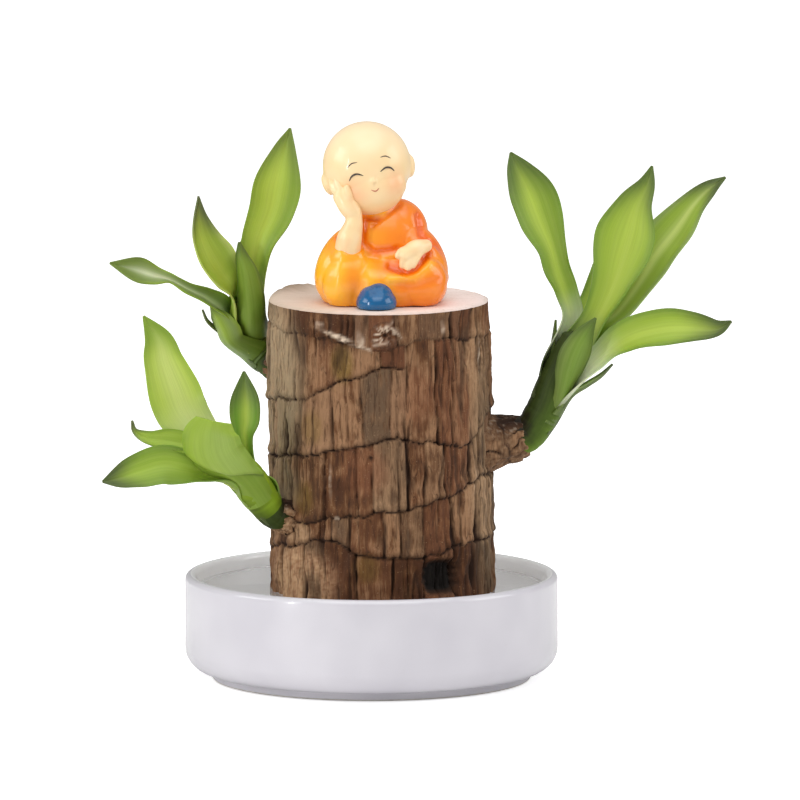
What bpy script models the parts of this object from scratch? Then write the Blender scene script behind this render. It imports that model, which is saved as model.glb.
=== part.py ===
"""Potted Brazilian wood plant: a sawn, rooted stem with three leafy shoots in a water dish.

Metres, +Z up. The origin is the centre of the dish's underside, on the surface it stands on.
Seen from the front, along +Y, +X is to the right. Lists of points and sizes are in millimetres
and are scaled by MM where they are used.
"""
import math
import random
from dataclasses import dataclass

import bmesh
import bpy
from mathutils import Matrix, Vector

MM = 0.001
GAP = 0.3
SHARP_ANGLE = 40.0

# Dish
DISH_RADIUS = 55.0
DISH_HEIGHT = 31.0
DISH_WALL = 3.3
DISH_FLOOR = 5.5
DISH_CORNER = 7.0
DISH_INNER_CORNER = 5.0
FOOT_RADIUS = 47.0
FOOT_HEIGHT = 2.4
DISH_SIDES = 56
ARC_STEPS = 4

# Wood
TRUNK_FOOT_X = 3.8
TRUNK_TOP_X = 2.1
TRUNK_FOOT_RADIUS = 32.5
TRUNK_TOP_RADIUS = 31.5
TRUNK_FOOT = DISH_FLOOR + GAP
TRUNK_TOP = 112.9
TRUNK_COLUMNS = 80
BAND_ROWS = (0.0, 0.12, 0.5, 0.9)
PLATE_COLUMNS = (2, 4)
PLATE_RELIEF = 0.9
PLATE_LIFT = 0.45
FISSURE_DEPTH = 1.3
RING_DEPTH = 1.2
RING_FLARE = 0.5
TOP_CHAMFER = 0.5
BARK_SEED = 11
FISSURE_SHARE = 0.35
TOP_RELIEF_SHARE = 0.6
TOP_FISSURE_SHARE = 0.5
SAWN_FLAT_RADIUS = 26.0
RIM_BUMP = 1.6
RIM_BUMP_ANGLE = -125.0
RIM_BUMP_SPREAD = 32.0
COLLAR_SHARES = (0.0, 0.55, 0.8, 0.97, 1.0)
COLLAR_LIP = 0.5

# Ring scars round the wood, lowest first: (angle from the front in degrees, height in mm).
# Positive angles turn to the right of the front.
RINGS = (
    (
        (-140, 38), (-90, 39), (-58, 41.5), (-28, 45.2), (-10, 40.6), (20, 39.8),
        (46, 42.6), (90, 43.5), (140, 41), (180, 38),
    ),
    (
        (-140, 51), (-90, 48.5), (-45, 49.2), (-19, 52), (11, 54), (37, 57.3),
        (62, 61.5), (90, 62), (140, 61), (180, 56),
    ),
    (
        (-140, 69), (-90, 66.5), (-48, 69), (-16, 72.5), (5, 75.3), (24, 73.8),
        (50, 71.5), (80, 80), (100, 80), (140, 75), (180, 72),
    ),
    (
        (-140, 84), (-90, 83), (-46, 85.8), (-16, 92.9), (5, 96.5), (24, 96.6),
        (60, 93), (100, 91), (140, 87), (180, 85),
    ),
    (
        (-140, 105.5), (-90, 106), (-31, 104.8), (1, 101.6), (23, 104.3), (76, 102.8),
        (130, 103.5), (180, 105),
    ),
)

# Water
WATER_LEVEL = 26.5
WATER_HOLE_RADIUS = 35.2
WATER_HOLE_X = 3.6
WATER_SIDES = 40
CUTTER_SPARE = 4.0

# Shoots
BLADE_THICKNESS = 0.75
BLADE_ROWS = 8
BLADE_COLUMNS = 4
TIP_HALF_WIDTH = 0.35
STEM_SIDES = 12
STEM_ROWS = 9
PEG_LENGTH = 3.5
SOCKET_EXTRA_DEPTH = 0.6
SOCKET_SIDES = 18
SHEATH_LENGTH = 0.12
SHEATH_SEAT = 0.98
SHEATH_SHARE = 0.2
COLLAR_LEAD = 3.4
MARGIN_WAVES = 2.0

# Ornament
FIGURE_X = 4.4
FIGURE_Y = -6.5
FIGURE_FOOT = TRUNK_TOP + GAP
TRIM_DEPTH = 30.0
TRIM_RADIUS = 60.0
TRIM_SIDES = 24

UP = Vector((0.0, 0.0, 1.0))


@dataclass(frozen=True)
class Leaf:
    """One leaf of a shoot.

    Stations run from base to tip as (x, y, z, half width). Facing gives the way the upper face
    looks at the base, in the middle and at the tip. Fold is the half angle of the curved cross
    section in the lower and the upper part, wave is how far the margins ripple, and wrap is the
    half angle by which the sheath wraps the stem.
    """

    sheath: float
    stations: tuple
    facing: tuple
    fold: tuple = (0.55, 0.35)
    wave: float = 0.5
    wrap: float = 1.45


@dataclass(frozen=True)
class Collar:
    """A ring of bark that stands out of the wood where a shoot leaves it."""

    start: tuple
    end: tuple
    radii: tuple
    socket_radius: float


@dataclass(frozen=True)
class Shoot:
    """A leafy shoot: the path and radii of its stem past the collar, and the leaves that wrap it."""

    name: str
    collar: Collar
    path: tuple
    radii: tuple
    leaves: tuple


SHOOTS = (
    Shoot(
        name="shoot_upper_left",
        collar=Collar(
            start=(-18.0, 14.3, 85.0), end=(-27.4, 20.9, 89.5), radii=(8.5, 5.4), socket_radius=3.4,
        ),
        path=(
            (-33.2, 23.6, 94.0), (-35.8, 22.3, 98.0), (-38.0, 19.4, 103.2), (-38.8, 16.0, 109.0),
        ),
        radii=(3.6, 4.2, 4.8, 4.9, 4.5, 2.8),
        leaves=(
            Leaf(
                sheath=0.68,
                stations=(
                    (-35.5, 14.5, 111.0, 4.4), (-34.5, 13.2, 119.5, 3.9), (-33.0, 13.3, 128.0, 5.4),
                    (-29.5, 15.0, 136.5, 6.9), (-27.8, 16.7, 144.5, 7.1), (-25.7, 20.0, 154.0, 3.6),
                    (-24.0, 22.0, 160.5, 0.3),
                ),
                facing=((-0.5, -1.0, 0.1), (-0.1, -1.0, 0.25), (0.1, -1.0, 0.3)),
                fold=(0.7, 0.3),
            ),
            Leaf(
                sheath=0.64,
                stations=(
                    (-41.0, 11.5, 113.0, 5.4), (-44.2, 9.0, 118.5, 7.2), (-47.4, 8.0, 123.5, 7.6),
                    (-49.8, 8.0, 129.0, 6.0), (-51.0, 8.2, 135.5, 3.2), (-51.0, 9.0, 142.0, 0.3),
                ),
                facing=((0.8, -0.1, 0.3), (0.55, -0.75, 0.35), (0.7, -0.7, 0.0)),
                fold=(0.9, 0.8), wave=0.3,
            ),
            Leaf(
                sheath=0.52,
                stations=(
                    (-35.2, 10.5, 104.5, 5.0), (-35.7, 8.2, 111.0, 4.8), (-36.7, 7.4, 118.5, 3.8),
                    (-38.2, 7.5, 124.0, 2.2), (-39.0, 8.0, 128.5, 0.3),
                ),
                facing=((-0.1, 1.0, 0.1), (0.1, 1.0, 0.1), (0.1, 1.0, 0.2)),
                fold=(1.2, 0.8), wave=0.1,
            ),
            Leaf(
                sheath=0.48,
                stations=(
                    (-43.4, 16.0, 105.8, 6.0), (-48.0, 11.5, 110.8, 3.7), (-54.0, 7.0, 114.5, 2.2),
                    (-59.5, 3.0, 118.0, 2.1), (-64.5, -0.5, 119.8, 3.5), (-69.5, -3.0, 121.8, 3.8),
                    (-77.0, -5.0, 124.0, 0.3),
                ),
                facing=((0.8, -0.1, 0.5), (-0.1, -0.75, 0.7), (-0.1, -0.95, 0.35)),
                fold=(0.9, 0.3),
            ),
            Leaf(
                sheath=0.28,
                stations=(
                    (-40.6, 22.6, 95.8, 3.0), (-45.0, 18.2, 100.0, 1.6), (-48.4, 14.2, 103.8, 1.0),
                    (-49.8, 12.8, 107.6, 0.3),
                ),
                facing=((0.75, -0.15, 0.65), (0.75, -0.2, 0.6), (0.8, -0.3, 0.4)),
                fold=(0.9, 0.9), wave=0.0, wrap=0.9,
            ),
            Leaf(
                sheath=0.68,
                stations=(
                    (-37.5, 18.5, 111.0, 4.2), (-35.8, 24.0, 119.5, 4.8), (-32.5, 31.0, 129.5, 4.3),
                    (-29.0, 37.0, 140.0, 0.3),
                ),
                facing=((-0.2, -1.0, 0.3), (-0.2, -0.8, 0.6), (-0.2, -0.8, 0.6)),
                fold=(0.8, 0.35),
            ),
        ),
    ),
    Shoot(
        name="shoot_lower_left",
        collar=Collar(
            start=(-15.9, -11.0, 47.2), end=(-26.3, -17.5, 51.0), radii=(8.0, 5.2), socket_radius=3.4,
        ),
        path=(
            (-32.3, -21.6, 56.4), (-35.8, -23.8, 61.7), (-39.5, -26.0, 66.7), (-42.5, -27.5, 70.8),
        ),
        radii=(3.6, 4.4, 5.2, 5.4, 4.9, 2.8),
        leaves=(
            Leaf(
                sheath=0.7,
                stations=(
                    (-46.5, -26.3, 71.5, 5.2), (-51.0, -25.0, 76.0, 6.6), (-55.8, -23.2, 82.5, 8.0),
                    (-58.3, -21.7, 88.5, 7.9), (-61.2, -19.4, 96.5, 6.1), (-62.8, -18.0, 103.0, 4.3),
                    (-67.0, -17.0, 110.0, 0.3),
                ),
                facing=((0.5, -1.0, 0.2), (0.15, -1.0, 0.25), (0.1, -1.0, 0.3)),
                fold=(0.6, 0.25),
            ),
            Leaf(
                sheath=0.6,
                stations=(
                    (-46.5, -29.3, 70.0, 4.0), (-52.5, -29.0, 73.0, 3.8), (-59.5, -29.0, 74.6, 3.6),
                    (-65.0, -28.8, 75.3, 2.3), (-69.3, -28.0, 77.2, 1.0), (-70.3, -28.0, 80.5, 0.3),
                ),
                facing=((0.8, -0.2, 0.6), (0.0, -0.85, 0.5), (0.2, -0.85, 0.5)),
                fold=(0.7, 0.5), wave=0.3,
            ),
            Leaf(
                sheath=0.46,
                stations=(
                    (-41.0, -29.3, 62.6, 3.8), (-47.0, -30.8, 64.6, 3.8), (-54.0, -32.2, 66.8, 5.4),
                    (-61.0, -33.3, 68.0, 6.2), (-68.0, -34.7, 66.4, 5.5), (-73.5, -35.6, 64.8, 3.8),
                    (-79.0, -36.0, 63.5, 0.3),
                ),
                facing=((0.7, 0.2, 0.7), (0.0, -0.85, 0.5), (0.0, -0.9, 0.4)),
                fold=(0.6, 0.35), wave=0.7,
            ),
            Leaf(
                sheath=0.28,
                stations=(
                    (-34.0, -20.2, 61.5, 3.6), (-36.3, -21.0, 69.0, 2.7), (-37.3, -21.7, 75.0, 3.2),
                    (-36.9, -21.7, 80.5, 4.8), (-37.0, -21.2, 86.5, 4.3), (-37.5, -20.0, 94.0, 0.3),
                ),
                facing=((-0.9, -0.7, 0.1), (-0.3, -1.0, 0.1), (-0.25, -1.0, 0.2)),
                fold=(1.0, 0.45), wave=0.2,
            ),
            Leaf(
                sheath=0.42,
                stations=(
                    (-37.2, -31.0, 62.0, 6.2), (-41.6, -35.0, 67.4, 8.2), (-45.2, -39.0, 73.0, 8.9),
                    (-47.6, -42.0, 78.5, 7.6), (-48.2, -43.6, 83.2, 4.0),
                ),
                facing=((-0.3, 0.7, 0.7), (0.1, 0.75, 0.65), (0.2, 0.8, 0.6)),
                fold=(0.8, 0.3), wave=0.4,
            ),
            Leaf(
                sheath=0.06,
                stations=(
                    (-32.6, -23.6, 51.6, 3.7), (-34.4, -25.4, 55.0, 1.4),
                ),
                facing=((0.3, 0.7, 0.6), (0.3, 0.7, 0.6), (0.3, 0.7, 0.6)),
                fold=(0.9, 0.9), wave=0.0, wrap=0.9,
            ),
            Leaf(
                sheath=0.68,
                stations=(
                    (-45.5, -24.0, 71.5, 4.4), (-51.0, -17.0, 77.5, 4.8), (-54.0, -10.0, 85.0, 4.4),
                    (-57.0, -4.0, 92.0, 0.3),
                ),
                facing=((0.4, -0.8, 0.5), (0.3, -0.7, 0.7), (0.2, -0.7, 0.7)),
                fold=(0.8, 0.35),
            ),
        ),
    ),
    Shoot(
        name="shoot_right",
        collar=Collar(
            start=(25.0, -1.0, 68.2), end=(43.0, -1.0, 72.2), radii=(11.2, 6.0), socket_radius=3.9,
        ),
        path=(
            (49.5, -0.9, 77.3), (52.1, -0.6, 82.4), (54.3, -0.2, 88.6), (57.2, 0.2, 95.5),
            (60.0, 0.8, 103.0),
        ),
        radii=(4.4, 4.9, 5.3, 5.3, 5.0, 4.4, 3.0),
        leaves=(
            Leaf(
                sheath=0.66,
                stations=(
                    (58.6, 4.6, 106.0, 3.9), (56.9, 5.6, 114.0, 4.0), (54.8, 6.4, 120.5, 4.1),
                    (53.0, 7.4, 127.0, 4.7), (49.7, 9.0, 135.0, 7.1), (46.9, 10.2, 142.5, 7.1),
                    (43.4, 11.6, 149.5, 4.0), (41.0, 13.0, 154.5, 0.3),
                ),
                facing=((0.5, -0.9, 0.1), (0.3, -1.0, 0.1), (0.2, -1.0, 0.2)),
                fold=(0.8, 0.3), wave=0.7,
            ),
            Leaf(
                sheath=0.72,
                stations=(
                    (65.0, 2.2, 105.0, 4.2), (68.5, 2.6, 111.5, 4.9), (71.2, 3.4, 118.0, 6.4),
                    (73.4, 4.7, 125.5, 8.8), (75.3, 6.0, 132.0, 9.0), (77.8, 7.5, 139.5, 5.6),
                    (81.0, 8.3, 145.5, 2.8), (82.7, 9.0, 151.0, 0.3),
                ),
                facing=((-0.3, -1.0, 0.3), (-0.1, -1.0, 0.2), (-0.1, -1.0, 0.1)),
                fold=(0.8, 0.3),
            ),
            Leaf(
                sheath=0.64,
                stations=(
                    (66.8, 4.6, 102.8, 4.4), (73.0, 6.5, 108.3, 4.8), (79.2, 9.3, 116.6, 6.2),
                    (84.0, 12.2, 124.0, 7.6), (89.8, 15.3, 131.0, 7.2), (95.0, 17.5, 138.1, 4.6),
                    (99.7, 19.3, 142.8, 2.8), (104.5, 21.0, 146.0, 0.3),
                ),
                facing=((-0.6, -0.7, 0.5), (-0.35, -0.85, 0.4), (-0.4, -0.8, 0.5)),
                fold=(0.8, 0.4),
            ),
            Leaf(
                sheath=0.42,
                stations=(
                    (62.3, -3.7, 90.0, 4.8), (67.8, -4.2, 95.4, 4.8), (72.8, -5.5, 99.9, 5.6),
                    (78.8, -6.8, 103.0, 6.2), (87.0, -8.0, 105.0, 6.2), (94.5, -8.7, 105.2, 5.0),
                    (101.5, -9.0, 105.1, 2.9), (106.0, -9.0, 107.3, 0.3),
                ),
                facing=((-0.75, -0.3, 0.7), (-0.1, -0.8, 0.6), (0.0, -0.85, 0.5)),
                fold=(1.0, 0.35),
            ),
            Leaf(
                sheath=0.34,
                stations=(
                    (57.0, -7.2, 87.0, 4.0), (58.7, -8.8, 92.5, 5.2), (60.5, -9.6, 98.5, 5.4),
                    (62.7, -9.5, 103.7, 3.5), (66.0, -8.5, 108.2, 0.3),
                ),
                facing=((-0.1, 1.0, 0.1), (-0.15, 1.0, 0.2), (-0.2, 1.0, 0.3)),
                fold=(1.1, 0.6), wave=0.1,
            ),
            Leaf(
                sheath=0.26,
                stations=(
                    (59.2, -2.4, 82.8, 4.0), (63.8, -3.2, 86.6, 2.9), (67.6, -3.6, 90.0, 2.0),
                    (71.0, -3.4, 93.8, 0.3),
                ),
                facing=((-0.75, 0.1, 0.7), (-0.6, 0.0, 0.8), (-0.6, 0.0, 0.8)),
                fold=(1.2, 0.9), wave=0.0,
            ),
            Leaf(
                sheath=0.48,
                stations=(
                    (52.2, 1.2, 94.0, 3.0), (53.4, 2.6, 100.0, 2.0), (54.4, 3.0, 106.0, 0.3),
                ),
                facing=((1.0, -0.2, -0.1), (1.0, -0.2, -0.1), (1.0, -0.2, 0.0)),
                fold=(1.1, 0.9), wave=0.0,
            ),
            Leaf(
                sheath=0.66,
                stations=(
                    (62.5, 5.5, 105.0, 4.2), (66.5, 12.0, 112.0, 4.6), (70.5, 18.5, 121.0, 4.8),
                    (74.0, 24.5, 130.0, 4.0), (77.0, 29.0, 138.0, 0.3),
                ),
                facing=((-0.3, -0.8, 0.4), (-0.3, -0.7, 0.6), (-0.3, -0.7, 0.6)),
                fold=(0.8, 0.35),
            ),
        ),
    ),
)

# The rounded masses of the ornament, a seated child in a robe: (centre, radii, tilt about Y in
# degrees). Places are measured from the middle of its base.
FIGURE_MASSES = (
    ((-1.5, -1.0, 8.0), (19.5, 14.5, 9.8), 0.0),
    ((-0.5, 1.5, 17.0), (13.0, 11.0, 14.5), 0.0),
    ((10.2, -2.0, 13.5), (7.2, 8.5, 11.5), -22.0),
    ((-12.3, -2.5, 12.5), (8.0, 9.0, 12.0), 22.0),
    ((-10.4, -9.5, 19.5), (3.9, 3.9, 7.5), 0.0),
    ((-12.5, -7.5, 29.8), (3.5, 4.2, 4.4), 0.0),
    ((7.5, -12.0, 15.3), (4.6, 4.2, 4.1), 15.0),
    ((-3.0, -13.0, 3.2), (5.9, 6.4, 4.2), 0.0),
    ((-5.9, -0.5, 39.7), (12.9, 12.6, 13.7), 14.0),
)


def clear_scene() -> None:
    """Remove whatever the file opened with."""
    for item in list(bpy.data.objects):
        bpy.data.objects.remove(item, do_unlink=True)


def material(name: str, colour: tuple, roughness: float) -> bpy.types.Material:
    """Return a Principled material with one colour."""
    finish = bpy.data.materials.new(name)
    finish.use_nodes = True
    shader = finish.node_tree.nodes["Principled BSDF"]
    shader.inputs["Base Color"].default_value = (*colour, 1.0)
    shader.inputs["Roughness"].default_value = roughness
    finish.diffuse_color = (*colour, 1.0)
    return finish


def object_from(name: str, vertices: list, faces: list, finish: bpy.types.Material) -> bpy.types.Object:
    """Link a mesh object whose vertices are given in millimetres, with its faces made to point out."""
    mesh = bpy.data.meshes.new(name)
    mesh.from_pydata([Vector(point) * MM for point in vertices], [], faces)
    shape = bmesh.new()
    shape.from_mesh(mesh)
    bmesh.ops.recalc_face_normals(shape, faces=shape.faces)
    shape.to_mesh(mesh)
    shape.free()
    mesh.materials.append(finish)
    mesh.shade_smooth()
    mesh.set_sharp_from_angle(angle=math.radians(SHARP_ANGLE))
    item = bpy.data.objects.new(name, mesh)
    bpy.context.scene.collection.objects.link(item)
    return item


def apply_modifiers(item: bpy.types.Object) -> None:
    """Replace the object's mesh by the one its modifiers make."""
    graph = bpy.context.evaluated_depsgraph_get()
    graph.update()
    finished = bpy.data.meshes.new_from_object(item.evaluated_get(graph))
    item.modifiers.clear()
    item.data = finished


def combine(item: bpy.types.Object, others: list, operation: str) -> None:
    """Join other closed solids to the object, or cut them from it, and remove them."""
    group = bpy.data.collections.new(f"{item.name}_{operation.lower()}")
    bpy.context.scene.collection.children.link(group)
    for other in others:
        bpy.context.scene.collection.objects.unlink(other)
        group.objects.link(other)
    boolean = item.modifiers.new(operation.title(), "BOOLEAN")
    boolean.operation = operation
    boolean.operand_type = "COLLECTION"
    boolean.collection = group
    boolean.solver = "EXACT"
    apply_modifiers(item)
    for other in others:
        bpy.data.objects.remove(other, do_unlink=True)
    bpy.data.collections.remove(group)


def fill_hollows(item: bpy.types.Object) -> None:
    """Keep only the object's outer skin, so that hollows sealed by joining are solid."""
    shape = bmesh.new()
    shape.from_mesh(item.data)
    pieces, seen = [], set()
    for face in shape.faces:
        if face in seen:
            continue
        piece, waiting = [], [face]
        seen.add(face)
        while waiting:
            current = waiting.pop()
            piece.append(current)
            for edge in current.edges:
                for neighbour in edge.link_faces:
                    if neighbour not in seen:
                        seen.add(neighbour)
                        waiting.append(neighbour)
        pieces.append(piece)
    pieces.sort(key=lambda piece: sum(face.calc_area() for face in piece))
    inner = [face for piece in pieces[:-1] for face in piece]
    bmesh.ops.delete(shape, geom=inner, context="FACES")
    shape.to_mesh(item.data)
    shape.free()


def turned(
    name: str, profile: list, sides: int, finish: bpy.types.Material, x: float = 0.0
) -> bpy.types.Object:
    """Turn a closed or axis-to-axis profile of (radius, height) round a vertical axis at x."""
    vertices, rings = [], []
    for radius, height in profile:
        if radius == 0.0:
            rings.append([len(vertices)])
            vertices.append((x, 0.0, height))
            continue
        rings.append(list(range(len(vertices), len(vertices) + sides)))
        for side in range(sides):
            angle = 2.0 * math.pi * side / sides
            vertices.append((x + radius * math.cos(angle), radius * math.sin(angle), height))
    on_axis = len(rings[0]) == 1
    pairs = list(zip(rings, rings[1:])) if on_axis else list(zip(rings, rings[1:] + rings[:1]))
    faces = []
    for first, second in pairs:
        for side in range(sides):
            after = (side + 1) % sides
            if len(first) == 1:
                faces.append((first[0], second[side], second[after]))
            elif len(second) == 1:
                faces.append((first[side], second[0], first[after]))
            else:
                faces.append((first[side], second[side], second[after], first[after]))
    return object_from(name, vertices, faces, finish)


def arc(centre: tuple, radius: float, start: float, end: float, steps: int = ARC_STEPS) -> list:
    """Return points of a profile arc between two angles in degrees."""
    points = []
    for step in range(steps + 1):
        angle = math.radians(start + (end - start) * step / steps)
        points.append((centre[0] + radius * math.cos(angle), centre[1] + radius * math.sin(angle)))
    return points


def spline(points: list, position: float) -> Vector:
    """Return a point on a smooth curve through the points, for a position from 0 to 1."""
    count = len(points) - 1
    place = min(max(position, 0.0), 1.0) * count
    index = min(int(place), count - 1)
    t = place - index
    p1, p2 = Vector(points[index]), Vector(points[index + 1])
    p0 = Vector(points[index - 1]) if index > 0 else p1 * 2.0 - p2
    p3 = Vector(points[index + 2]) if index + 2 <= count else p2 * 2.0 - p1
    return 0.5 * ((2.0 * p1) + (p2 - p0) * t + (2.0 * p0 - 5.0 * p1 + 4.0 * p2 - p3) * t * t
                  + (3.0 * p1 - p0 - 3.0 * p2 + p3) * t ** 3)


def direction(points: list, position: float) -> Vector:
    """Return the unit direction of the smooth curve at a position from 0 to 1."""
    step = 0.02
    return (spline(points, position + step) - spline(points, position - step)).normalized()


def ring_height(ring: tuple, angle: float) -> float:
    """Return a ring scar's height at an angle in degrees, eased between its given points."""
    points = list(ring) + [(ring[0][0] + 360.0, ring[0][1])]
    place = (angle - points[0][0]) % 360.0 + points[0][0]
    for (start, low), (end, high) in zip(points, points[1:]):
        if start <= place <= end:
            t = (place - start) / (end - start)
            return low + (high - low) * t * t * (3.0 - 2.0 * t)
    return points[-1][1]


def trunk_radius(height: float) -> float:
    """Return the wood's mean radius at a height."""
    share = (height - TRUNK_FOOT) / (TRUNK_TOP - TRUNK_FOOT)
    return TRUNK_FOOT_RADIUS + (TRUNK_TOP_RADIUS - TRUNK_FOOT_RADIUS) * share


def trunk_x(height: float) -> float:
    """Return where the wood's axis, which leans a little to the left, is at a height."""
    share = (height - TRUNK_FOOT) / (TRUNK_TOP - TRUNK_FOOT)
    return TRUNK_FOOT_X + (TRUNK_TOP_X - TRUNK_FOOT_X) * share


def bark_plates(draw: random.Random) -> tuple:
    """Return one band's fissures and plate heights: a relief value for each column of the wood."""
    relief, fissure = [0.0] * TRUNK_COLUMNS, [False] * TRUNK_COLUMNS
    column = 0
    while column < TRUNK_COLUMNS:
        width = min(draw.randint(*PLATE_COLUMNS), TRUNK_COLUMNS - column)
        lift = draw.uniform(-PLATE_LIFT, PLATE_LIFT)
        fissure[column] = True
        for step in range(width):
            relief[column + step] = PLATE_RELIEF + lift
        column += width
    return relief, fissure


def bark_profile(share: float) -> float:
    """Return how far the bark of a band stands out at a share of its height: groove, lip, body."""
    if share == 0.0:
        return -RING_DEPTH
    return RING_FLARE * max(0.0, 1.0 - share * 4.0)


def rim_bump(angle: float) -> float:
    """Return how far the rim of the sawn top stands up, which is only at its rough back left."""
    away = (angle - RIM_BUMP_ANGLE + 180.0) % 360.0 - 180.0
    if abs(away) >= RIM_BUMP_SPREAD:
        return 0.0
    return RIM_BUMP * math.cos(math.radians(90.0 * away / RIM_BUMP_SPREAD)) ** 2


def make_trunk(bark: bpy.types.Material) -> bpy.types.Object:
    """Model the sawn wood: bands of bark plates between ring scars, collars and sockets."""
    draw = random.Random(BARK_SEED)
    bands = [bark_plates(draw) for _ in range(len(RINGS) + 1)]
    vertices, rows = [], []
    for number, (relief, fissure) in enumerate(bands):
        for share in BAND_ROWS:
            rows.append([])
            for column in range(TRUNK_COLUMNS):
                angle = 360.0 * column / TRUNK_COLUMNS - 180.0
                low = TRUNK_FOOT if number == 0 else ring_height(RINGS[number - 1], angle)
                high = TRUNK_TOP if number == len(RINGS) else ring_height(RINGS[number], angle)
                height = low + (high - low) * share
                out = relief[column] * (FISSURE_SHARE if fissure[column] else 1.0)
                out -= FISSURE_DEPTH if fissure[column] and share > 0.0 else 0.0
                out += bark_profile(share) if number or share else 0.0
                rows[-1].append(len(vertices))
                vertices.append(trunk_point(angle, trunk_radius(height) + out, height))
    relief, fissure = bands[-1]
    for inset, drop in ((0.0, TOP_CHAMFER), (TOP_CHAMFER, 0.0)):
        rows.append([])
        for column in range(TRUNK_COLUMNS):
            angle = 360.0 * column / TRUNK_COLUMNS - 180.0
            out = relief[column] * TOP_RELIEF_SHARE
            out -= FISSURE_DEPTH * TOP_FISSURE_SHARE if fissure[column] else 0.0
            rows[-1].append(len(vertices))
            height = TRUNK_TOP + rim_bump(angle) - drop
            vertices.append(trunk_point(angle, TRUNK_TOP_RADIUS + out - inset, height))
    rows.append([])
    for column in range(TRUNK_COLUMNS):
        angle = 360.0 * column / TRUNK_COLUMNS - 180.0
        rows[-1].append(len(vertices))
        vertices.append(trunk_point(angle, SAWN_FLAT_RADIUS, TRUNK_TOP))
    faces = []
    for lower, upper in zip(rows, rows[1:]):
        for column in range(TRUNK_COLUMNS):
            after = (column + 1) % TRUNK_COLUMNS
            faces.append((lower[column], lower[after], upper[after]))
            faces.append((lower[column], upper[after], upper[column]))
    for rim, height in ((rows[0], TRUNK_FOOT), (rows[-1], TRUNK_TOP)):
        centre = len(vertices)
        vertices.append((trunk_x(height), 0.0, height))
        after = rim[1:] + rim[:1]
        faces += [(centre, first, second) for first, second in zip(rim, after)]
    trunk = object_from("trunk", vertices, faces, bark)
    combine(trunk, [make_collar(shoot, bark) for shoot in SHOOTS], "UNION")
    combine(trunk, [make_socket(shoot, bark) for shoot in SHOOTS], "DIFFERENCE")
    return trunk


def trunk_point(angle: float, radius: float, height: float) -> tuple:
    """Return a point round the wood's axis, its angle measured from the front to the right."""
    turn = math.radians(angle)
    return (trunk_x(height) + radius * math.sin(turn), -radius * math.cos(turn), height)


def frame_along(tangent: Vector, side: Vector) -> tuple:
    """Return two unit vectors square to the tangent, the first as near as can be to the side."""
    first = (side - tangent * side.dot(tangent)).normalized()
    return first, tangent.cross(first).normalized()


def tube(
    name: str, centres: list, radii: list, sides: int, finish: bpy.types.Material
) -> bpy.types.Object:
    """Return a closed tube through centres, one radius for each."""
    vertices, faces = [], []
    side = (UP.cross(centres[1] - centres[0])).normalized()
    for index, (centre, radius) in enumerate(zip(centres, radii)):
        before, after = centres[max(index - 1, 0)], centres[min(index + 1, len(centres) - 1)]
        side, other = frame_along((after - before).normalized(), side)
        for step in range(sides):
            angle = 2.0 * math.pi * step / sides
            vertices.append(centre + radius * (side * math.cos(angle) + other * math.sin(angle)))
    for ring in range(len(centres) - 1):
        for step in range(sides):
            after = (step + 1) % sides
            start = ring * sides
            faces.append((start + step, start + after, start + sides + after, start + sides + step))
    faces.append(tuple(reversed(range(sides))))
    faces.append(tuple(range(len(vertices) - sides, len(vertices))))
    return object_from(name, vertices, faces, finish)


def make_collar(shoot: Shoot, bark: bpy.types.Material) -> bpy.types.Object:
    """Return the flared stub of bark that a shoot grows from."""
    start, end = Vector(shoot.collar.start), Vector(shoot.collar.end)
    wide, narrow = shoot.collar.radii
    radii = [wide, wide * 0.92, (wide + narrow) * 0.48, narrow, narrow - COLLAR_LIP]
    centres = [start.lerp(end, share) for share in COLLAR_SHARES]
    return tube(f"{shoot.name}_collar", centres, radii, STEM_SIDES, bark)


def make_socket(shoot: Shoot, bark: bpy.types.Material) -> bpy.types.Object:
    """Return the cutter for the plain hole in which a shoot's stem stands."""
    end = Vector(shoot.collar.end)
    along = (end - Vector(shoot.collar.start)).normalized()
    inner = end - along * (PEG_LENGTH + SOCKET_EXTRA_DEPTH)
    outer = end + along * CUTTER_SPARE
    radius = shoot.collar.socket_radius
    return tube(f"{shoot.name}_socket", [inner, outer], [radius, radius], SOCKET_SIDES, bark)


def stem_path(shoot: Shoot) -> list:
    """Return the stem's path, which leaves the collar straight before it bends."""
    end = Vector(shoot.collar.end)
    along = (end - Vector(shoot.collar.start)).normalized()
    return [end + along * GAP * 2.0, end + along * COLLAR_LEAD] + [Vector(point) for point in shoot.path]


def make_stem(shoot: Shoot, finish: bpy.types.Material) -> bpy.types.Object:
    """Return a shoot's stem, with the narrower peg that stands in the wood's socket."""
    end = Vector(shoot.collar.end)
    along = (end - Vector(shoot.collar.start)).normalized()
    peg = shoot.collar.socket_radius - GAP
    centres = [end - along * PEG_LENGTH, end + along * GAP]
    radii = [peg, peg]
    path = stem_path(shoot)
    for row in range(STEM_ROWS + 1):
        share = row / STEM_ROWS
        centres.append(spline(path, share))
        radii.append(stem_radius(shoot, share))
    return tube(shoot.name, centres, radii, STEM_SIDES, finish)


def stem_radius(shoot: Shoot, share: float) -> float:
    """Return a stem's radius at a share of its path."""
    return spline([(radius, 0.0, 0.0) for radius in shoot.radii], share).x


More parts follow.
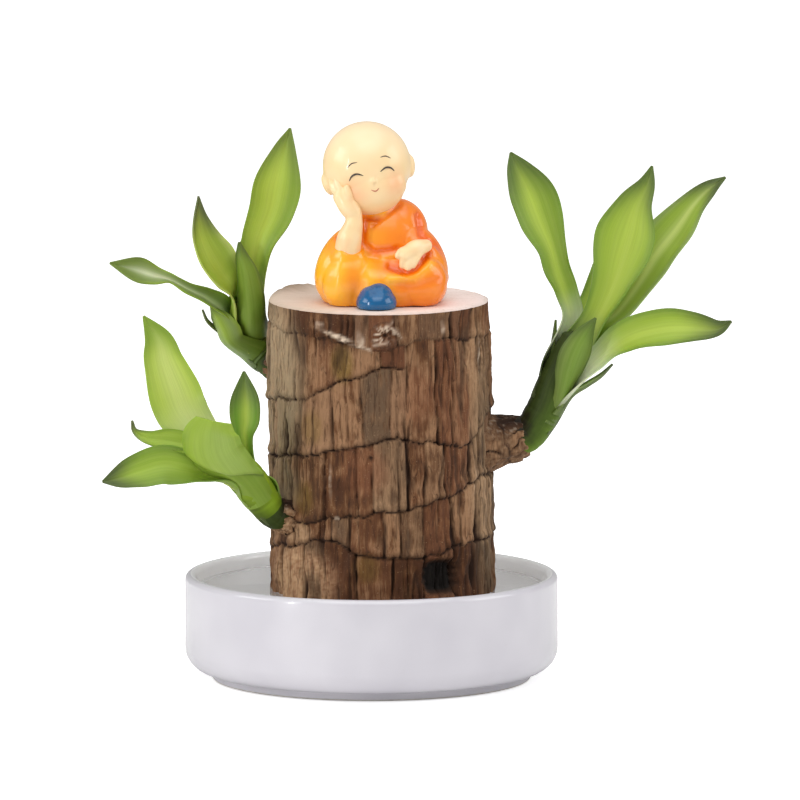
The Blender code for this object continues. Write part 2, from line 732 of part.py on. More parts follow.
def leaf_stations(shoot: Shoot, leaf: Leaf) -> tuple:
    """Return a leaf's centre line and half widths, with the sheath that wraps the stem first."""
    points, widths = [], []
    path = stem_path(shoot)
    for share in (leaf.sheath, leaf.sheath + SHEATH_LENGTH):
        radius = stem_radius(shoot, share)
        along = direction(path, share)
        inward, _ = frame_along(along, Vector(leaf.facing[0]))
        points.append(spline(path, share) - inward * radius * SHEATH_SEAT)
        widths.append((radius * leaf.wrap, 0.0, 0.0))
    for x, y, z, half_width in leaf.stations:
        points.append(Vector((x, y, z)))
        widths.append((half_width, 0.0, 0.0))
    return points, widths


def leaf_facing(leaf: Leaf, share: float) -> Vector:
    """Return the way the leaf's upper face looks at a share of its length."""
    base, middle, tip = (Vector(way).normalized() for way in leaf.facing)
    if share < 0.5:
        return base.lerp(middle, share * 2.0).normalized()
    return middle.lerp(tip, share * 2.0 - 1.0).normalized()


def leaf_fold(leaf: Leaf, share: float) -> float:
    """Return the half angle of the leaf's curved section: a sheath at the base, then a channel."""
    if share < SHEATH_SHARE:
        return leaf.wrap + (leaf.fold[0] - leaf.wrap) * share / SHEATH_SHARE
    return leaf.fold[0] + (leaf.fold[1] - leaf.fold[0]) * (share - SHEATH_SHARE) / (1.0 - SHEATH_SHARE)


def make_leaf(shoot: Shoot, leaf: Leaf, number: int, finish: bpy.types.Material) -> bpy.types.Object:
    """Return one leaf as a thin closed solid, its two faces split into triangles alike."""
    points, widths = leaf_stations(shoot, leaf)
    upper, lower = [], []
    for row in range(BLADE_ROWS + 1):
        share = row / BLADE_ROWS
        centre = spline(points, share)
        facing, across = frame_along(direction(points, share), leaf_facing(leaf, share))
        half_width = max(spline(widths, share).x, TIP_HALF_WIDTH)
        fold = leaf_fold(leaf, share)
        for column in range(BLADE_COLUMNS + 1):
            side = 2.0 * column / BLADE_COLUMNS - 1.0
            turn = fold * side
            bend = half_width / fold
            place = centre + across * bend * math.sin(turn) + facing * bend * (1.0 - math.cos(turn))
            outward = facing * math.cos(turn) - across * math.sin(turn)
            phase = 2.0 * math.pi * (MARGIN_WAVES * share + 0.25 * side)
            ripple = leaf.wave * side * side * math.sin(phase)
            place = place + outward * ripple * math.sin(math.pi * share)
            upper.append(place + outward * BLADE_THICKNESS * 0.5)
            lower.append(place - outward * BLADE_THICKNESS * 0.5)
    faces = blade_faces(len(upper))
    return object_from(f"{shoot.name}_leaf_{number}", upper + lower, faces, finish)


def blade_faces(offset: int) -> list:
    """Return the triangles of a blade whose lower points follow its upper ones."""
    faces = []
    across = BLADE_COLUMNS + 1
    for row in range(BLADE_ROWS):
        for column in range(BLADE_COLUMNS):
            a = row * across + column
            b, c, d = a + 1, a + across + 1, a + across
            for first, second, third in ((a, b, c), (a, c, d)):
                faces.append((first, second, third))
                faces.append((first + offset, third + offset, second + offset))
    rim = list(range(across))
    rim += [row * across + BLADE_COLUMNS for row in range(1, BLADE_ROWS + 1)]
    rim += [BLADE_ROWS * across + column for column in range(BLADE_COLUMNS - 1, -1, -1)]
    rim += [row * across for row in range(BLADE_ROWS - 1, 0, -1)]
    for first, second in zip(rim, rim[1:] + rim[:1]):
        faces.append((first, second + offset, second))
        faces.append((first, first + offset, second + offset))
    return faces


def make_shoot(shoot: Shoot, finish: bpy.types.Material) -> bpy.types.Object:
    """Model a shoot as one solid: its stem with every leaf fused to it."""
    stem = make_stem(shoot, finish)
    leaves = [make_leaf(shoot, leaf, number, finish) for number, leaf in enumerate(shoot.leaves)]
    combine(stem, leaves, "UNION")
    fill_hollows(stem)
    return stem


def make_dish(glaze: bpy.types.Material) -> bpy.types.Object:
    """Model the dish by turning its section: foot, rounded corner, wall, lip, inside and floor."""
    inside = DISH_RADIUS - DISH_WALL
    lip = DISH_WALL * 0.5
    profile = [(0.0, 0.0), (FOOT_RADIUS, 0.0), (FOOT_RADIUS, FOOT_HEIGHT)]
    profile += arc((DISH_RADIUS - DISH_CORNER, FOOT_HEIGHT + DISH_CORNER), DISH_CORNER, -90.0, 0.0)
    profile += arc((DISH_RADIUS - lip, DISH_HEIGHT - lip), lip, 0.0, 180.0)
    turn = (inside - DISH_INNER_CORNER, DISH_FLOOR + DISH_INNER_CORNER)
    profile += arc(turn, DISH_INNER_CORNER, 0.0, -90.0)
    profile.append((0.0, DISH_FLOOR))
    return turned("dish", profile, DISH_SIDES, glaze)


def make_water(clear: bpy.types.Material) -> bpy.types.Object:
    """Model the water as the dish's inside up to its level, less a plain hole round the wood."""
    outer = DISH_RADIUS - DISH_WALL - GAP
    corner = DISH_INNER_CORNER
    floor = DISH_FLOOR + GAP
    profile = arc((outer - corner, floor + corner), corner, -90.0, 0.0)
    profile += [(outer, WATER_LEVEL), (0.0, WATER_LEVEL)]
    water = turned("water", [(0.0, floor)] + profile, DISH_SIDES, clear)
    low, high = floor - CUTTER_SPARE, WATER_LEVEL + CUTTER_SPARE
    hole = [(0.0, low), (WATER_HOLE_RADIUS, low), (WATER_HOLE_RADIUS, high), (0.0, high)]
    combine(water, [turned("water_hole", hole, WATER_SIDES, clear, x=WATER_HOLE_X)], "DIFFERENCE")
    return water


def make_figurine(resin: bpy.types.Material) -> bpy.types.Object:
    """Model the ornament as rounded masses joined in one casting, with a flat base."""
    base = Vector((FIGURE_X, FIGURE_Y, FIGURE_FOOT))
    masses = []
    for number, (centre, radii, tilt) in enumerate(FIGURE_MASSES):
        shape = bmesh.new()
        fineness = 3 if number in (0, len(FIGURE_MASSES) - 1) else 2
        bmesh.ops.create_icosphere(shape, subdivisions=fineness, radius=1.0)
        turn = Matrix.Rotation(math.radians(tilt), 4, "Y") @ Matrix.Diagonal((*radii, 1.0))
        vertices = [base + Vector(centre) + turn @ vertex.co for vertex in shape.verts]
        faces = [tuple(vertex.index for vertex in face.verts) for face in shape.faces]
        shape.free()
        name = "monk_figurine" if number == 0 else f"figure_mass_{number}"
        masses.append(object_from(name, vertices, faces, resin))
    figurine = masses[0]
    combine(figurine, masses[1:], "UNION")
    low = FIGURE_FOOT - TRIM_DEPTH
    below = [(0.0, low), (TRIM_RADIUS, low), (TRIM_RADIUS, FIGURE_FOOT), (0.0, FIGURE_FOOT)]
    combine(figurine, [turned("figure_trim", below, TRIM_SIDES, resin)], "DIFFERENCE")
    return figurine


def main() -> None:
    """Build every sub-part in its place."""
    clear_scene()
    make_dish(material("glazed_ceramic", (0.80, 0.79, 0.81), 0.22))
    make_water(material("water", (0.86, 0.90, 0.90), 0.05))
    make_trunk(material("bark", (0.16, 0.09, 0.05), 0.85))
    green = material("leaf_green", (0.33, 0.45, 0.08), 0.5)
    for shoot in SHOOTS:
        make_shoot(shoot, green)
    make_figurine(material("painted_resin", (0.95, 0.36, 0.05), 0.3))


main()
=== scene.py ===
"""Looks of a potted Brazilian wood plant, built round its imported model.

The plant is a sawn, rooted stem with plated bark and three leafy shoots. It stands in the water of
a round glazed dish, and a small painted resin ornament rests on its sawn top. Metres, +Z up, the
front looks along -Y. Lists of points and sizes are in millimetres and are scaled by MM.
"""
from __future__ import annotations

import logging
import math
import random
from dataclasses import dataclass, field
from enum import Enum
from typing import Callable

import bmesh
import bpy
from mathutils import Matrix, Vector, noise
from mathutils.bvhtree import BVHTree

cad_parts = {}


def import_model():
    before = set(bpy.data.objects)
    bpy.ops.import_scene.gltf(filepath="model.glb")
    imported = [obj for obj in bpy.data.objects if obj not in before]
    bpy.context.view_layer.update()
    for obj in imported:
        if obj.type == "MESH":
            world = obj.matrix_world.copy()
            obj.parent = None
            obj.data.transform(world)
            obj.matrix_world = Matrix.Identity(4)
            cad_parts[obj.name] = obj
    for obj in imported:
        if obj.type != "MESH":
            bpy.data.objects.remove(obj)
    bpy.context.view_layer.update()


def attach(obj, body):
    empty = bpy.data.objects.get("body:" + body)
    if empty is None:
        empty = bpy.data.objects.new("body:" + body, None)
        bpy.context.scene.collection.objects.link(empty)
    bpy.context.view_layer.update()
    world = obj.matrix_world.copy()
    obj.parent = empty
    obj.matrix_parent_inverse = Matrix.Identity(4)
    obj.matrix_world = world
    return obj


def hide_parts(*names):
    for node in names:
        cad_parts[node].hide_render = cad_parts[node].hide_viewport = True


LOG = logging.getLogger("plant")

MM = 0.001
GAP = 0.3
BODY = "root"
UP = Vector((0.0, 0.0, 1.0))

DISH_FLOOR = 5.5
TRUNK_FOOT = DISH_FLOOR + GAP
TRUNK_TOP = 112.9

Colour = tuple[float, float, float]
Place = Callable[[float, float], Vector]


def linear(red: int, green: int, blue: int) -> Colour:
    """Return a linear colour for screen values from 0 to 255."""

    def channel(value: int) -> float:
        share = value / 255.0
        return share / 12.92 if share <= 0.04045 else ((share + 0.055) / 1.055) ** 2.4

    return channel(red), channel(green), channel(blue)


def blend(first: Colour, second: Colour, share: float) -> Colour:
    """Return the colour a share of the way from the first to the second."""
    part = min(max(share, 0.0), 1.0)
    return tuple(a + (b - a) * part for a, b in zip(first, second))


def smooth(low: float, high: float, value: float) -> float:
    """Return a soft step from 0 at low to 1 at high."""
    share = min(max((value - low) / (high - low), 0.0), 1.0)
    return share * share * (3.0 - 2.0 * share)


def hump(value: float, width: float) -> float:
    """Return a soft hump, 1 where the value is 0 and near 0 beyond twice the width."""
    return math.exp(-((value / width) ** 2))


def spline(points: list, position: float) -> Vector:
    """Return a point on a smooth curve through points.

    Args:
        points: the points, evenly spread along the curve.
        position: where on the curve, from 0 to 1.

    Returns:
        The point, by the Catmull-Rom rule.
    """
    count = len(points) - 1
    place = min(max(position, 0.0), 1.0) * count
    index = min(int(place), count - 1)
    t = place - index
    p1, p2 = Vector(points[index]), Vector(points[index + 1])
    p0 = Vector(points[index - 1]) if index > 0 else p1 * 2.0 - p2
    p3 = Vector(points[index + 2]) if index + 2 <= count else p2 * 2.0 - p1
    return 0.5 * (
        2.0 * p1
        + (p2 - p0) * t
        + (2.0 * p0 - 5.0 * p1 + 4.0 * p2 - p3) * t * t
        + (3.0 * p1 - p0 - 3.0 * p2 + p3) * t**3
    )


def direction(points: list, position: float) -> Vector:
    """Return the unit direction of the smooth curve at a position from 0 to 1."""
    step = 0.02
    return (spline(points, position + step) - spline(points, position - step)).normalized()


def frame_along(tangent: Vector, side: Vector) -> tuple[Vector, Vector]:
    """Return two unit vectors square to the tangent, the first as near as can be to the side."""
    first = (side - tangent * side.dot(tangent)).normalized()
    return first, tangent.cross(first).normalized()


def deselect() -> None:
    """Leave object mode with nothing selected."""
    if bpy.context.mode != "OBJECT":
        bpy.ops.object.mode_set(mode="OBJECT")
    bpy.ops.object.select_all(action="DESELECT")


def activate(*items: bpy.types.Object) -> None:
    """Select only these objects, with the first one active."""
    deselect()
    for item in items:
        item.select_set(True)
    bpy.context.view_layer.objects.active = items[0]


class Editing:
    """Edit mode on one object, with the parts that pass a test selected first."""

    def __init__(self, item: bpy.types.Object, mode: str = "FACE") -> None:
        """Keep the object and the kind of part that is worked on."""
        self.item = item
        self.mode = mode

    def __enter__(self) -> Editing:
        """Enter edit mode with everything deselected."""
        activate(self.item)
        bpy.ops.object.mode_set(mode="EDIT")
        bpy.ops.mesh.select_mode(type=self.mode)
        bpy.ops.mesh.select_all(action="DESELECT")
        return self

    def __exit__(self, *_: object) -> None:
        """Go back to object mode."""
        bpy.ops.object.mode_set(mode="OBJECT")

    def faces(self, test: Callable[[bmesh.types.BMFace], bool]) -> None:
        """Select just the faces that pass a test."""
        shape = bmesh.from_edit_mesh(self.item.data)
        for face in shape.faces:
            face.select_set(False)
        for face in shape.faces:
            if test(face):
                face.select_set(True)
        bmesh.update_edit_mesh(self.item.data)

    def edges(self, test: Callable[[Vector], bool]) -> None:
        """Select just the edges with both ends at places, in millimetres, that pass a test."""
        shape = bmesh.from_edit_mesh(self.item.data)
        for edge in shape.edges:
            edge.select_set(False)
        for edge in shape.edges:
            if all(test(vertex.co / MM) for vertex in edge.verts):
                edge.select_set(True)
        bmesh.update_edit_mesh(self.item.data)


def apply_modifier(item: bpy.types.Object, kind: str, **settings: object) -> None:
    """Add a modifier with the settings given and apply it.

    Args:
        item: the object that is changed.
        kind: the modifier's type.
        **settings: its values, by name.
    """
    activate(item)
    modifier = item.modifiers.new(kind.title(), kind)
    for name, value in settings.items():
        setattr(modifier, name, value)
    bpy.ops.object.modifier_apply(modifier=modifier.name)


def close_mesh(item: bpy.types.Object, distance: float = 0.004) -> None:
    """Merge seams and poles closer than a distance in millimetres and point the faces outward."""
    with Editing(item, "VERT"):
        bpy.ops.mesh.select_all(action="SELECT")
        bpy.ops.mesh.remove_doubles(threshold=distance * MM)
        bpy.ops.mesh.normals_make_consistent(inside=False)


def smooth_shading(item: bpy.types.Object, angle: float = 35.0) -> None:
    """Shade the object smooth, with edges sharper than an angle in degrees kept crisp."""
    activate(item)
    bpy.ops.object.shade_smooth_by_angle(angle=math.radians(angle))


def sheet_mesh(name: str, columns: int, rows: int, place: Place) -> bpy.types.Object:
    """Add a grid and shape it by moving each of its vertices.

    Args:
        name: the new object's name.
        columns: how many faces across.
        rows: how many faces along.
        place: gives the place in millimetres for a share across and a share along.

    Returns:
        The shaped object, with the shares kept as its UV map.
    """
    deselect()
    bpy.ops.mesh.primitive_grid_add(x_subdivisions=columns, y_subdivisions=rows, size=2.0)
    sheet = bpy.context.active_object
    sheet.name = sheet.data.name = name
    for vertex in sheet.data.vertices:
        across, along = vertex.co.x * 0.5 + 0.5, vertex.co.y * 0.5 + 0.5
        vertex.co = place(across, along) * MM
    return sheet


def tube_mesh(name: str, centres: Callable[[float], Vector], radius: Callable[[float, float], float],
              sides: int, rows: int) -> bpy.types.Object:
    """Add a closed tube along a path.

    Args:
        name: the new object's name.
        centres: gives the path's point for a share of its length.
        radius: gives the radius for an angle and a share of the length; 0 closes an end.
        sides: how many faces around.
        rows: how many faces along.

    Returns:
        The tube, closed and with its faces outward.
    """
    path = [centres(row / rows) for row in range(rows + 1)]
    frames = []
    side = (UP.cross(path[1] - path[0])).normalized()
    for index in range(rows + 1):
        before, after = path[max(index - 1, 0)], path[min(index + 1, rows)]
        side, other = frame_along((after - before).normalized(), side)
        frames.append((side, other))

    def place(across: float, along: float) -> Vector:
        index = round(along * rows)
        angle = 2.0 * math.pi * across
        first, second = frames[index]
        out = radius(angle, along)
        return path[index] + out * (first * math.cos(angle) + second * math.sin(angle))

    tube = sheet_mesh(name, sides, rows, place)
    close_mesh(tube)
    return tube


def point_shares(item: bpy.types.Object) -> list[tuple[float, float]]:
    """Return the share across and the share along of each vertex, read from the UV map."""
    shares = [(0.0, 0.0)] * len(item.data.vertices)
    layer = item.data.uv_layers.active.data
    for loop in item.data.loops:
        shares[loop.vertex_index] = tuple(layer[loop.index].uv)
    return shares


def point_values(item: bpy.types.Object, name: str, values: list[float]) -> None:
    """Store one number for each vertex as an attribute."""
    item.data.attributes.new(name, "FLOAT", "POINT").data.foreach_set("value", values)


def point_colours(item: bpy.types.Object, name: str, colours: list[Colour]) -> None:
    """Store one colour for each vertex as an attribute."""
    flat = [channel for colour in colours for channel in (*colour, 1.0)]
    item.data.attributes.new(name, "FLOAT_COLOR", "POINT").data.foreach_set("color", flat)


def dress(item: bpy.types.Object, *materials: bpy.types.Material) -> None:
    """Give the object its materials, in the order of its slots."""
    item.data.materials.clear()
    for material in materials:
        item.data.materials.append(material)


def settle(item: bpy.types.Object, slot: str, *nodes: str) -> None:
    """Hand a finished piece to the frame.

    Args:
        item: the finished piece.
        slot: a material slot name; not used.
        *nodes: the solids that it stands for.
    """
    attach(item, BODY)
    if nodes:
        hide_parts(*nodes)
    LOG.info("%s: %d faces", item.name, len(item.data.polygons))


class Shader:
    """A material under construction, with short ways to add and join its nodes."""

    def __init__(self, name: str) -> None:
        """Start a material with its usual surface node."""
        self.material = bpy.data.materials.new(name)
        self.material.use_nodes = True
        self.tree = self.material.node_tree
        self.surface = self.tree.nodes["Principled BSDF"]

    def feed(self, socket: bpy.types.NodeSocket, value: object) -> None:
        """Set a socket to a value, or join it to another node's output."""
        if isinstance(value, bpy.types.NodeSocket):
            self.tree.links.new(value, socket)
        elif isinstance(value, tuple) and len(value) == 3 and socket.type == "RGBA":
            socket.default_value = (*value, 1.0)
        else:
            socket.default_value = value

    def set(self, **values: object) -> None:
        """Set the surface node's sockets, named with underscores for spaces."""
        for name, value in values.items():
            self.feed(self.surface.inputs[name.replace("_", " ").title().replace("Ior", "IOR")], value)

    def attribute(self, name: str) -> bpy.types.Node:
        """Return a node that reads a named attribute."""
        node = self.tree.nodes.new("ShaderNodeAttribute")
        node.attribute_name = name
        return node

    def coordinates(self, kind: str, stretch: tuple = (1.0, 1.0, 1.0)) -> bpy.types.NodeSocket:
        """Return object or UV coordinates, scaled along each axis."""
        source = self.tree.nodes.new("ShaderNodeTexCoord")
        mapping = self.tree.nodes.new("ShaderNodeMapping")
        self.tree.links.new(source.outputs[kind], mapping.inputs["Vector"])
        mapping.inputs["Scale"].default_value = stretch
        return mapping.outputs["Vector"]

    def noise(self, vector: bpy.types.NodeSocket, scale: float, detail: float = 3.0,
              roughness: float = 0.55) -> bpy.types.NodeSocket:
        """Return a noise value from 0 to 1 on the given coordinates."""
        node = self.tree.nodes.new("ShaderNodeTexNoise")
        self.feed(node.inputs["Vector"], vector)
        node.inputs["Scale"].default_value = scale
        node.inputs["Detail"].default_value = detail
        node.inputs["Roughness"].default_value = roughness
        return node.outputs["Fac"]

    def span(self, value: bpy.types.NodeSocket, low: float, high: float,
             to_low: float = 0.0, to_high: float = 1.0) -> bpy.types.NodeSocket:
        """Return a value moved from one range to another, and held inside it."""
        node = self.tree.nodes.new("ShaderNodeMapRange")
        self.feed(node.inputs["Value"], value)
        for name, number in (("From Min", low), ("From Max", high), ("To Min", to_low), ("To Max", to_high)):
            node.inputs[name].default_value = number
        return node.outputs["Result"]

    def mix(self, share: object, first: object, second: object, how: str = "MIX") -> bpy.types.NodeSocket:
        """Return a mix of two colours by a share."""
        node = self.tree.nodes.new("ShaderNodeMix")
        node.data_type = "RGBA"
        node.blend_type = how
        self.feed(node.inputs["Factor"], share)
        self.feed(node.inputs[6], first)
        self.feed(node.inputs[7], second)
        return node.outputs[2]

    def maths(self, operation: str, first: object, second: object = 0.0) -> bpy.types.NodeSocket:
        """Return the result of a sum on one or two values."""
        node = self.tree.nodes.new("ShaderNodeMath")
        node.operation = operation
        self.feed(node.inputs[0], first)
        self.feed(node.inputs[1], second)
        return node.outputs[0]

    def bump(self, height: bpy.types.NodeSocket, strength: float, distance: float) -> None:
        """Roughen the surface by a height, with the distance in millimetres."""
        node = self.tree.nodes.new("ShaderNodeBump")
        node.inputs["Strength"].default_value = strength
        node.inputs["Distance"].default_value = distance * MM
        self.feed(node.inputs["Height"], height)
        self.feed(self.surface.inputs["Normal"], node.outputs["Normal"])


class Slot(Enum):
    """The material slot names."""

    GLAZE = "glaze"
    WATER = "water"
    BARK = "bark"
    LEAF = "leaf"
    RESIN = "resin"


@dataclass(frozen=True)
class Glaze:
    """White glaze: smooth and glossy, a little uneven where it flowed, bare on the foot's ring."""

    name: str = "white_glaze"
    colour: Colour = linear(210, 207, 213)
    pooled: Colour = linear(200, 197, 204)
    depth: float = 0.0

    def make(self) -> bpy.types.Material:
        """Return the glaze material."""
        shader = Shader(self.name)
        place = shader.coordinates("Object")
        flow = shader.noise(place, 38.0, 2.0)
        speck = shader.noise(place, 900.0, 2.0)
        colour = shader.mix(shader.span(flow, 0.35, 0.7), self.colour, self.pooled)
        colour = shader.mix(shader.span(speck, 0.66, 0.74, 0.0, 0.12), colour, linear(190, 186, 182))
        shader.set(base_color=colour, ior=1.5)
        shader.set(roughness=shader.span(flow, 0.3, 0.75, 0.16, 0.27))
        shader.set(coat_weight=0.5, coat_roughness=0.08)
        shader.bump(shader.noise(place, 110.0, 2.0), 0.12, 0.4)
        shader.set(subsurface_weight=self.depth, subsurface_scale=0.01)
        shader.surface.inputs["Subsurface Radius"].default_value = (1.0, 1.0, 1.0)
        return shader.material


@dataclass(frozen=True)
class BareClay:
    """Bare fired clay of the foot, matt and finely grained."""

    name: str = "bare_clay"
    colour: Colour = linear(206, 202, 197)

    def make(self) -> bpy.types.Material:
        """Return the clay material."""
        shader = Shader(self.name)
        place = shader.coordinates("Object")
        grain = shader.noise(place, 700.0, 4.0)
        shader.set(base_color=shader.mix(shader.span(grain, 0.3, 0.75), self.colour, linear(184, 178, 171)))
        shader.set(roughness=0.75)
        shader.bump(grain, 0.3, 0.25)
        return shader.material


@dataclass(frozen=True)
class StillWater:
    """Clear still water with a faint ripple."""

    name: str = "still_water"

    def make(self) -> bpy.types.Material:
        """Return the water material."""
        shader = Shader(self.name)
        place = shader.coordinates("Object")
        ripple = shader.noise(place, 60.0, 2.0)
        shader.set(base_color=(0.97, 0.97, 0.98), roughness=0.03, ior=1.33, alpha=0.35)
        shader.set(specular_ior_level=0.25)
        shader.bump(ripple, 0.1, 0.3)
        return shader.material


@dataclass(frozen=True)
class BarkSkin:
    """Bark: brown plates with streaky grain, fissures darkened partly in their own colour and partly with painted
    shade, pale flakes and a mossy patch.
    """

    name: str = "plated_bark"
    dark: Colour = linear(72, 41, 20)
    middle: Colour = linear(103, 67, 40)
    light: Colour = linear(147, 110, 79)
    grey: Colour = linear(158, 141, 112)
    crack: Colour = linear(44, 25, 12)
    # painted shade: near black, for deep in the hollow at the foot
    hollow: Colour = linear(14, 7, 3)
    flake: Colour = linear(222, 200, 176)
    moss: Colour = linear(122, 98, 40)
    rust: Colour = linear(138, 88, 60)
    tan: Colour = linear(184, 148, 112)

    def make(self) -> bpy.types.Material:
        """Return the bark material."""
        shader = Shader(self.name)
        fibres = shader.coordinates("Object", (1.0, 1.0, 0.13))
        place = shader.coordinates("Object")
        streak = shader.noise(fibres, 620.0, 5.0, 0.62)
        patch = shader.noise(place, 120.0, 4.0)
        tone = shader.attribute("plate_tone").outputs["Fac"]
        level = shader.maths("MULTIPLY_ADD", shader.span(streak, 0.3, 0.72), 0.9)
        level.node.inputs[2].default_value = -0.45
        level = shader.maths("ADD", tone, level)
        patchy = shader.maths("MULTIPLY_ADD", shader.span(patch, 0.25, 0.75), 0.4)
        patchy.node.inputs[2].default_value = -0.2
        level = shader.maths("ADD", level, patchy)
        colour = shader.mix(shader.span(level, 0.15, 0.55), self.dark, self.middle)
        colour = shader.mix(shader.span(level, 0.5, 0.95), colour, self.light)
        colour = shader.mix(shader.attribute("greyed").outputs["Fac"], colour, self.grey)
        colour = shader.mix(shader.attribute("rusty").outputs["Fac"], colour, self.rust)
        colour = shader.mix(shader.attribute("mossy").outputs["Fac"], colour, self.moss)
        colour = shader.mix(shader.attribute("pale").outputs["Fac"], colour, self.tan)
        fleck = shader.span(shader.noise(fibres, 1500.0, 3.0, 0.7), 0.5, 0.72, 0.0, 0.6)
        colour = shader.mix(fleck, colour, self.dark)
        glint = shader.span(shader.noise(place, 1900.0, 2.0, 0.6), 0.64, 0.78, 0.0, 0.5)
        colour = shader.mix(glint, colour, self.tan)
        wander = shader.noise(shader.coordinates("Object", (1.0, 1.0, 0.09)), 330.0, 2.0, 0.5)
        offset = shader.maths("ABSOLUTE", shader.maths("SUBTRACT", wander, 0.5))
        split = shader.span(offset, 0.0, 0.02, 0.55, 0.0)
        colour = shader.mix(split, colour, self.crack)
        colour = shader.mix(shader.attribute("flaky").outputs["Fac"], colour, self.flake)
        # Darkness in fissures, ring grooves and marks: partly the cracks' own dark colour, partly painted shade;
        # near black in the hollow, as painted shade.
        dark_marks_and_shade = shader.attribute("dark_marks_and_shade").outputs["Fac"]
        colour = shader.mix(shader.span(dark_marks_and_shade, 0.05, 0.8), colour, self.crack)
        colour = shader.mix(shader.span(dark_marks_and_shade, 1.0, 1.4), colour, self.hollow)
        shader.set(base_color=colour, roughness=shader.span(streak, 0.3, 0.8, 0.72, 0.93))
        shader.set(specular_ior_level=0.25)
        shader.bump(streak, 0.55, 0.5)
        return shader.material


@dataclass(frozen=True)
class SawnWood:
    """The sawn and sealed top: pinkish tan with fine pores and faint saw marks, painted lighter towards the right.
    """

    name: str = "sawn_wood"
    warm: Colour = linear(222, 202, 186)
    pale: Colour = linear(246, 230, 224)
    dull: Colour = linear(192, 170, 150)

    def make(self) -> bpy.types.Material:
        """Return the sawn wood material."""
        shader = Shader(self.name)
        place = shader.coordinates("Object")
        broad = shader.noise(place, 55.0, 3.0)
        pores = shader.noise(place, 1300.0, 2.0, 0.6)
        marks = shader.noise(shader.coordinates("Object", (0.12, 1.0, 1.0)), 900.0, 3.0)
        # Painted light: the sawn top is painted lighter towards its right side.
        across = shader.attribute("painted_light_to_right").outputs["Fac"]
        shift = shader.maths("MULTIPLY_ADD", shader.span(broad, 0.3, 0.7), 0.4)
        shift.node.inputs[2].default_value = -0.2
        colour = shader.mix(shader.span(shader.maths("ADD", across, shift), 0.2, 0.85), self.warm, self.pale)
        colour = shader.mix(shader.span(pores, 0.58, 0.7, 0.0, 0.35), colour, self.dull)
        colour = shader.mix(shader.span(marks, 0.55, 0.75, 0.0, 0.25), colour, self.dull)
        # Darker towards the rim of the sawn top, most at the raised bump at the back left.
        colour = shader.mix(shader.attribute("rim_darkening").outputs["Fac"], colour, linear(150, 128, 106))
        shader.set(base_color=colour, roughness=0.62, specular_ior_level=0.3)
        shader.bump(marks, 0.25, 0.25)
        return shader.material


@dataclass(frozen=True)
class LeafSkin:
    """A living leaf: its own colours with fine veins along it, satin on top."""

    name: str = "leaf_top"
    dull: float = 0.1
    roughness: float = 0.42

    def make(self) -> bpy.types.Material:
        """Return the leaf material."""
        shader = Shader(self.name)
        veins = shader.coordinates("UV", (1.0, 0.03, 1.0))
        broad = shader.coordinates("UV", (1.0, 0.12, 1.0))
        fine = shader.noise(veins, 70.0, 3.0, 0.6)
        wide = shader.noise(broad, 9.0, 3.0)
        colour = shader.attribute("leaf_colour").outputs["Color"]
        colour = shader.mix(shader.span(fine, 0.4, 0.7, 0.0, 0.24), colour, linear(88, 116, 22))
        colour = shader.mix(shader.span(wide, 0.45, 0.75, 0.0, 0.15), colour, linear(196, 208, 110))
        colour = shader.mix(self.dull, colour, linear(150, 164, 118))
        shader.set(base_color=colour, roughness=self.roughness, specular_ior_level=0.28)
        shader.set(subsurface_weight=0.2, subsurface_scale=0.0012)
        shader.surface.inputs["Subsurface Radius"].default_value = (0.6, 1.0, 0.25)
        shader.bump(fine, 0.25, 0.25)
        return shader.material


@dataclass(frozen=True)
class StemSkin:
    """The green stem: its colour attribute holds painted shade on its upper side and painted light under its foot,
    where it leaves the wood.
    """

    name: str = "green_stem"

    def make(self) -> bpy.types.Material:
        """Return the stem material."""
        shader = Shader(self.name)
        lines = shader.noise(shader.coordinates("UV", (1.0, 0.1, 1.0)), 40.0, 3.0)
        colour = shader.attribute("leaf_colour").outputs["Color"]
        colour = shader.mix(shader.span(lines, 0.45, 0.75, 0.0, 0.14), colour, linear(104, 116, 52))
        shader.set(base_color=colour, roughness=0.55, specular_ior_level=0.2)
        shader.bump(lines, 0.2, 0.3)
        return shader.material


@dataclass(frozen=True)
class PaintedResin:
    """Cast resin under glossy paint: one colour, moved towards a deep and a bright colour by an attribute; on the
    robe these are painted shade in its folds and a painted highlight on its ridges.
    """

    name: str
    colour: Colour
    deep: Colour
    bright: Colour
    roughness: float = 0.24
    coat: float = 0.6

    def make(self) -> bpy.types.Material:
        """Return the painted resin material."""
        shader = Shader(self.name)
        place = shader.coordinates("Object")
        cloud = shader.noise(place, 95.0, 2.0)
        relief = shader.attribute("relief").outputs["Fac"]
        cloudy = shader.maths("MULTIPLY_ADD", cloud, 0.3)
        cloudy.node.inputs[2].default_value = -0.15
        level = shader.maths("ADD", relief, cloudy)
        colour = shader.mix(shader.span(level, 0.1, 0.5), self.deep, self.colour)
        colour = shader.mix(shader.span(level, 0.5, 0.95), colour, self.bright)
        shader.set(base_color=colour, roughness=self.roughness)
        shader.set(coat_weight=self.coat, coat_roughness=0.07)
        shader.bump(shader.noise(place, 420.0, 2.0), 0.06, 0.3)
        return shader.material


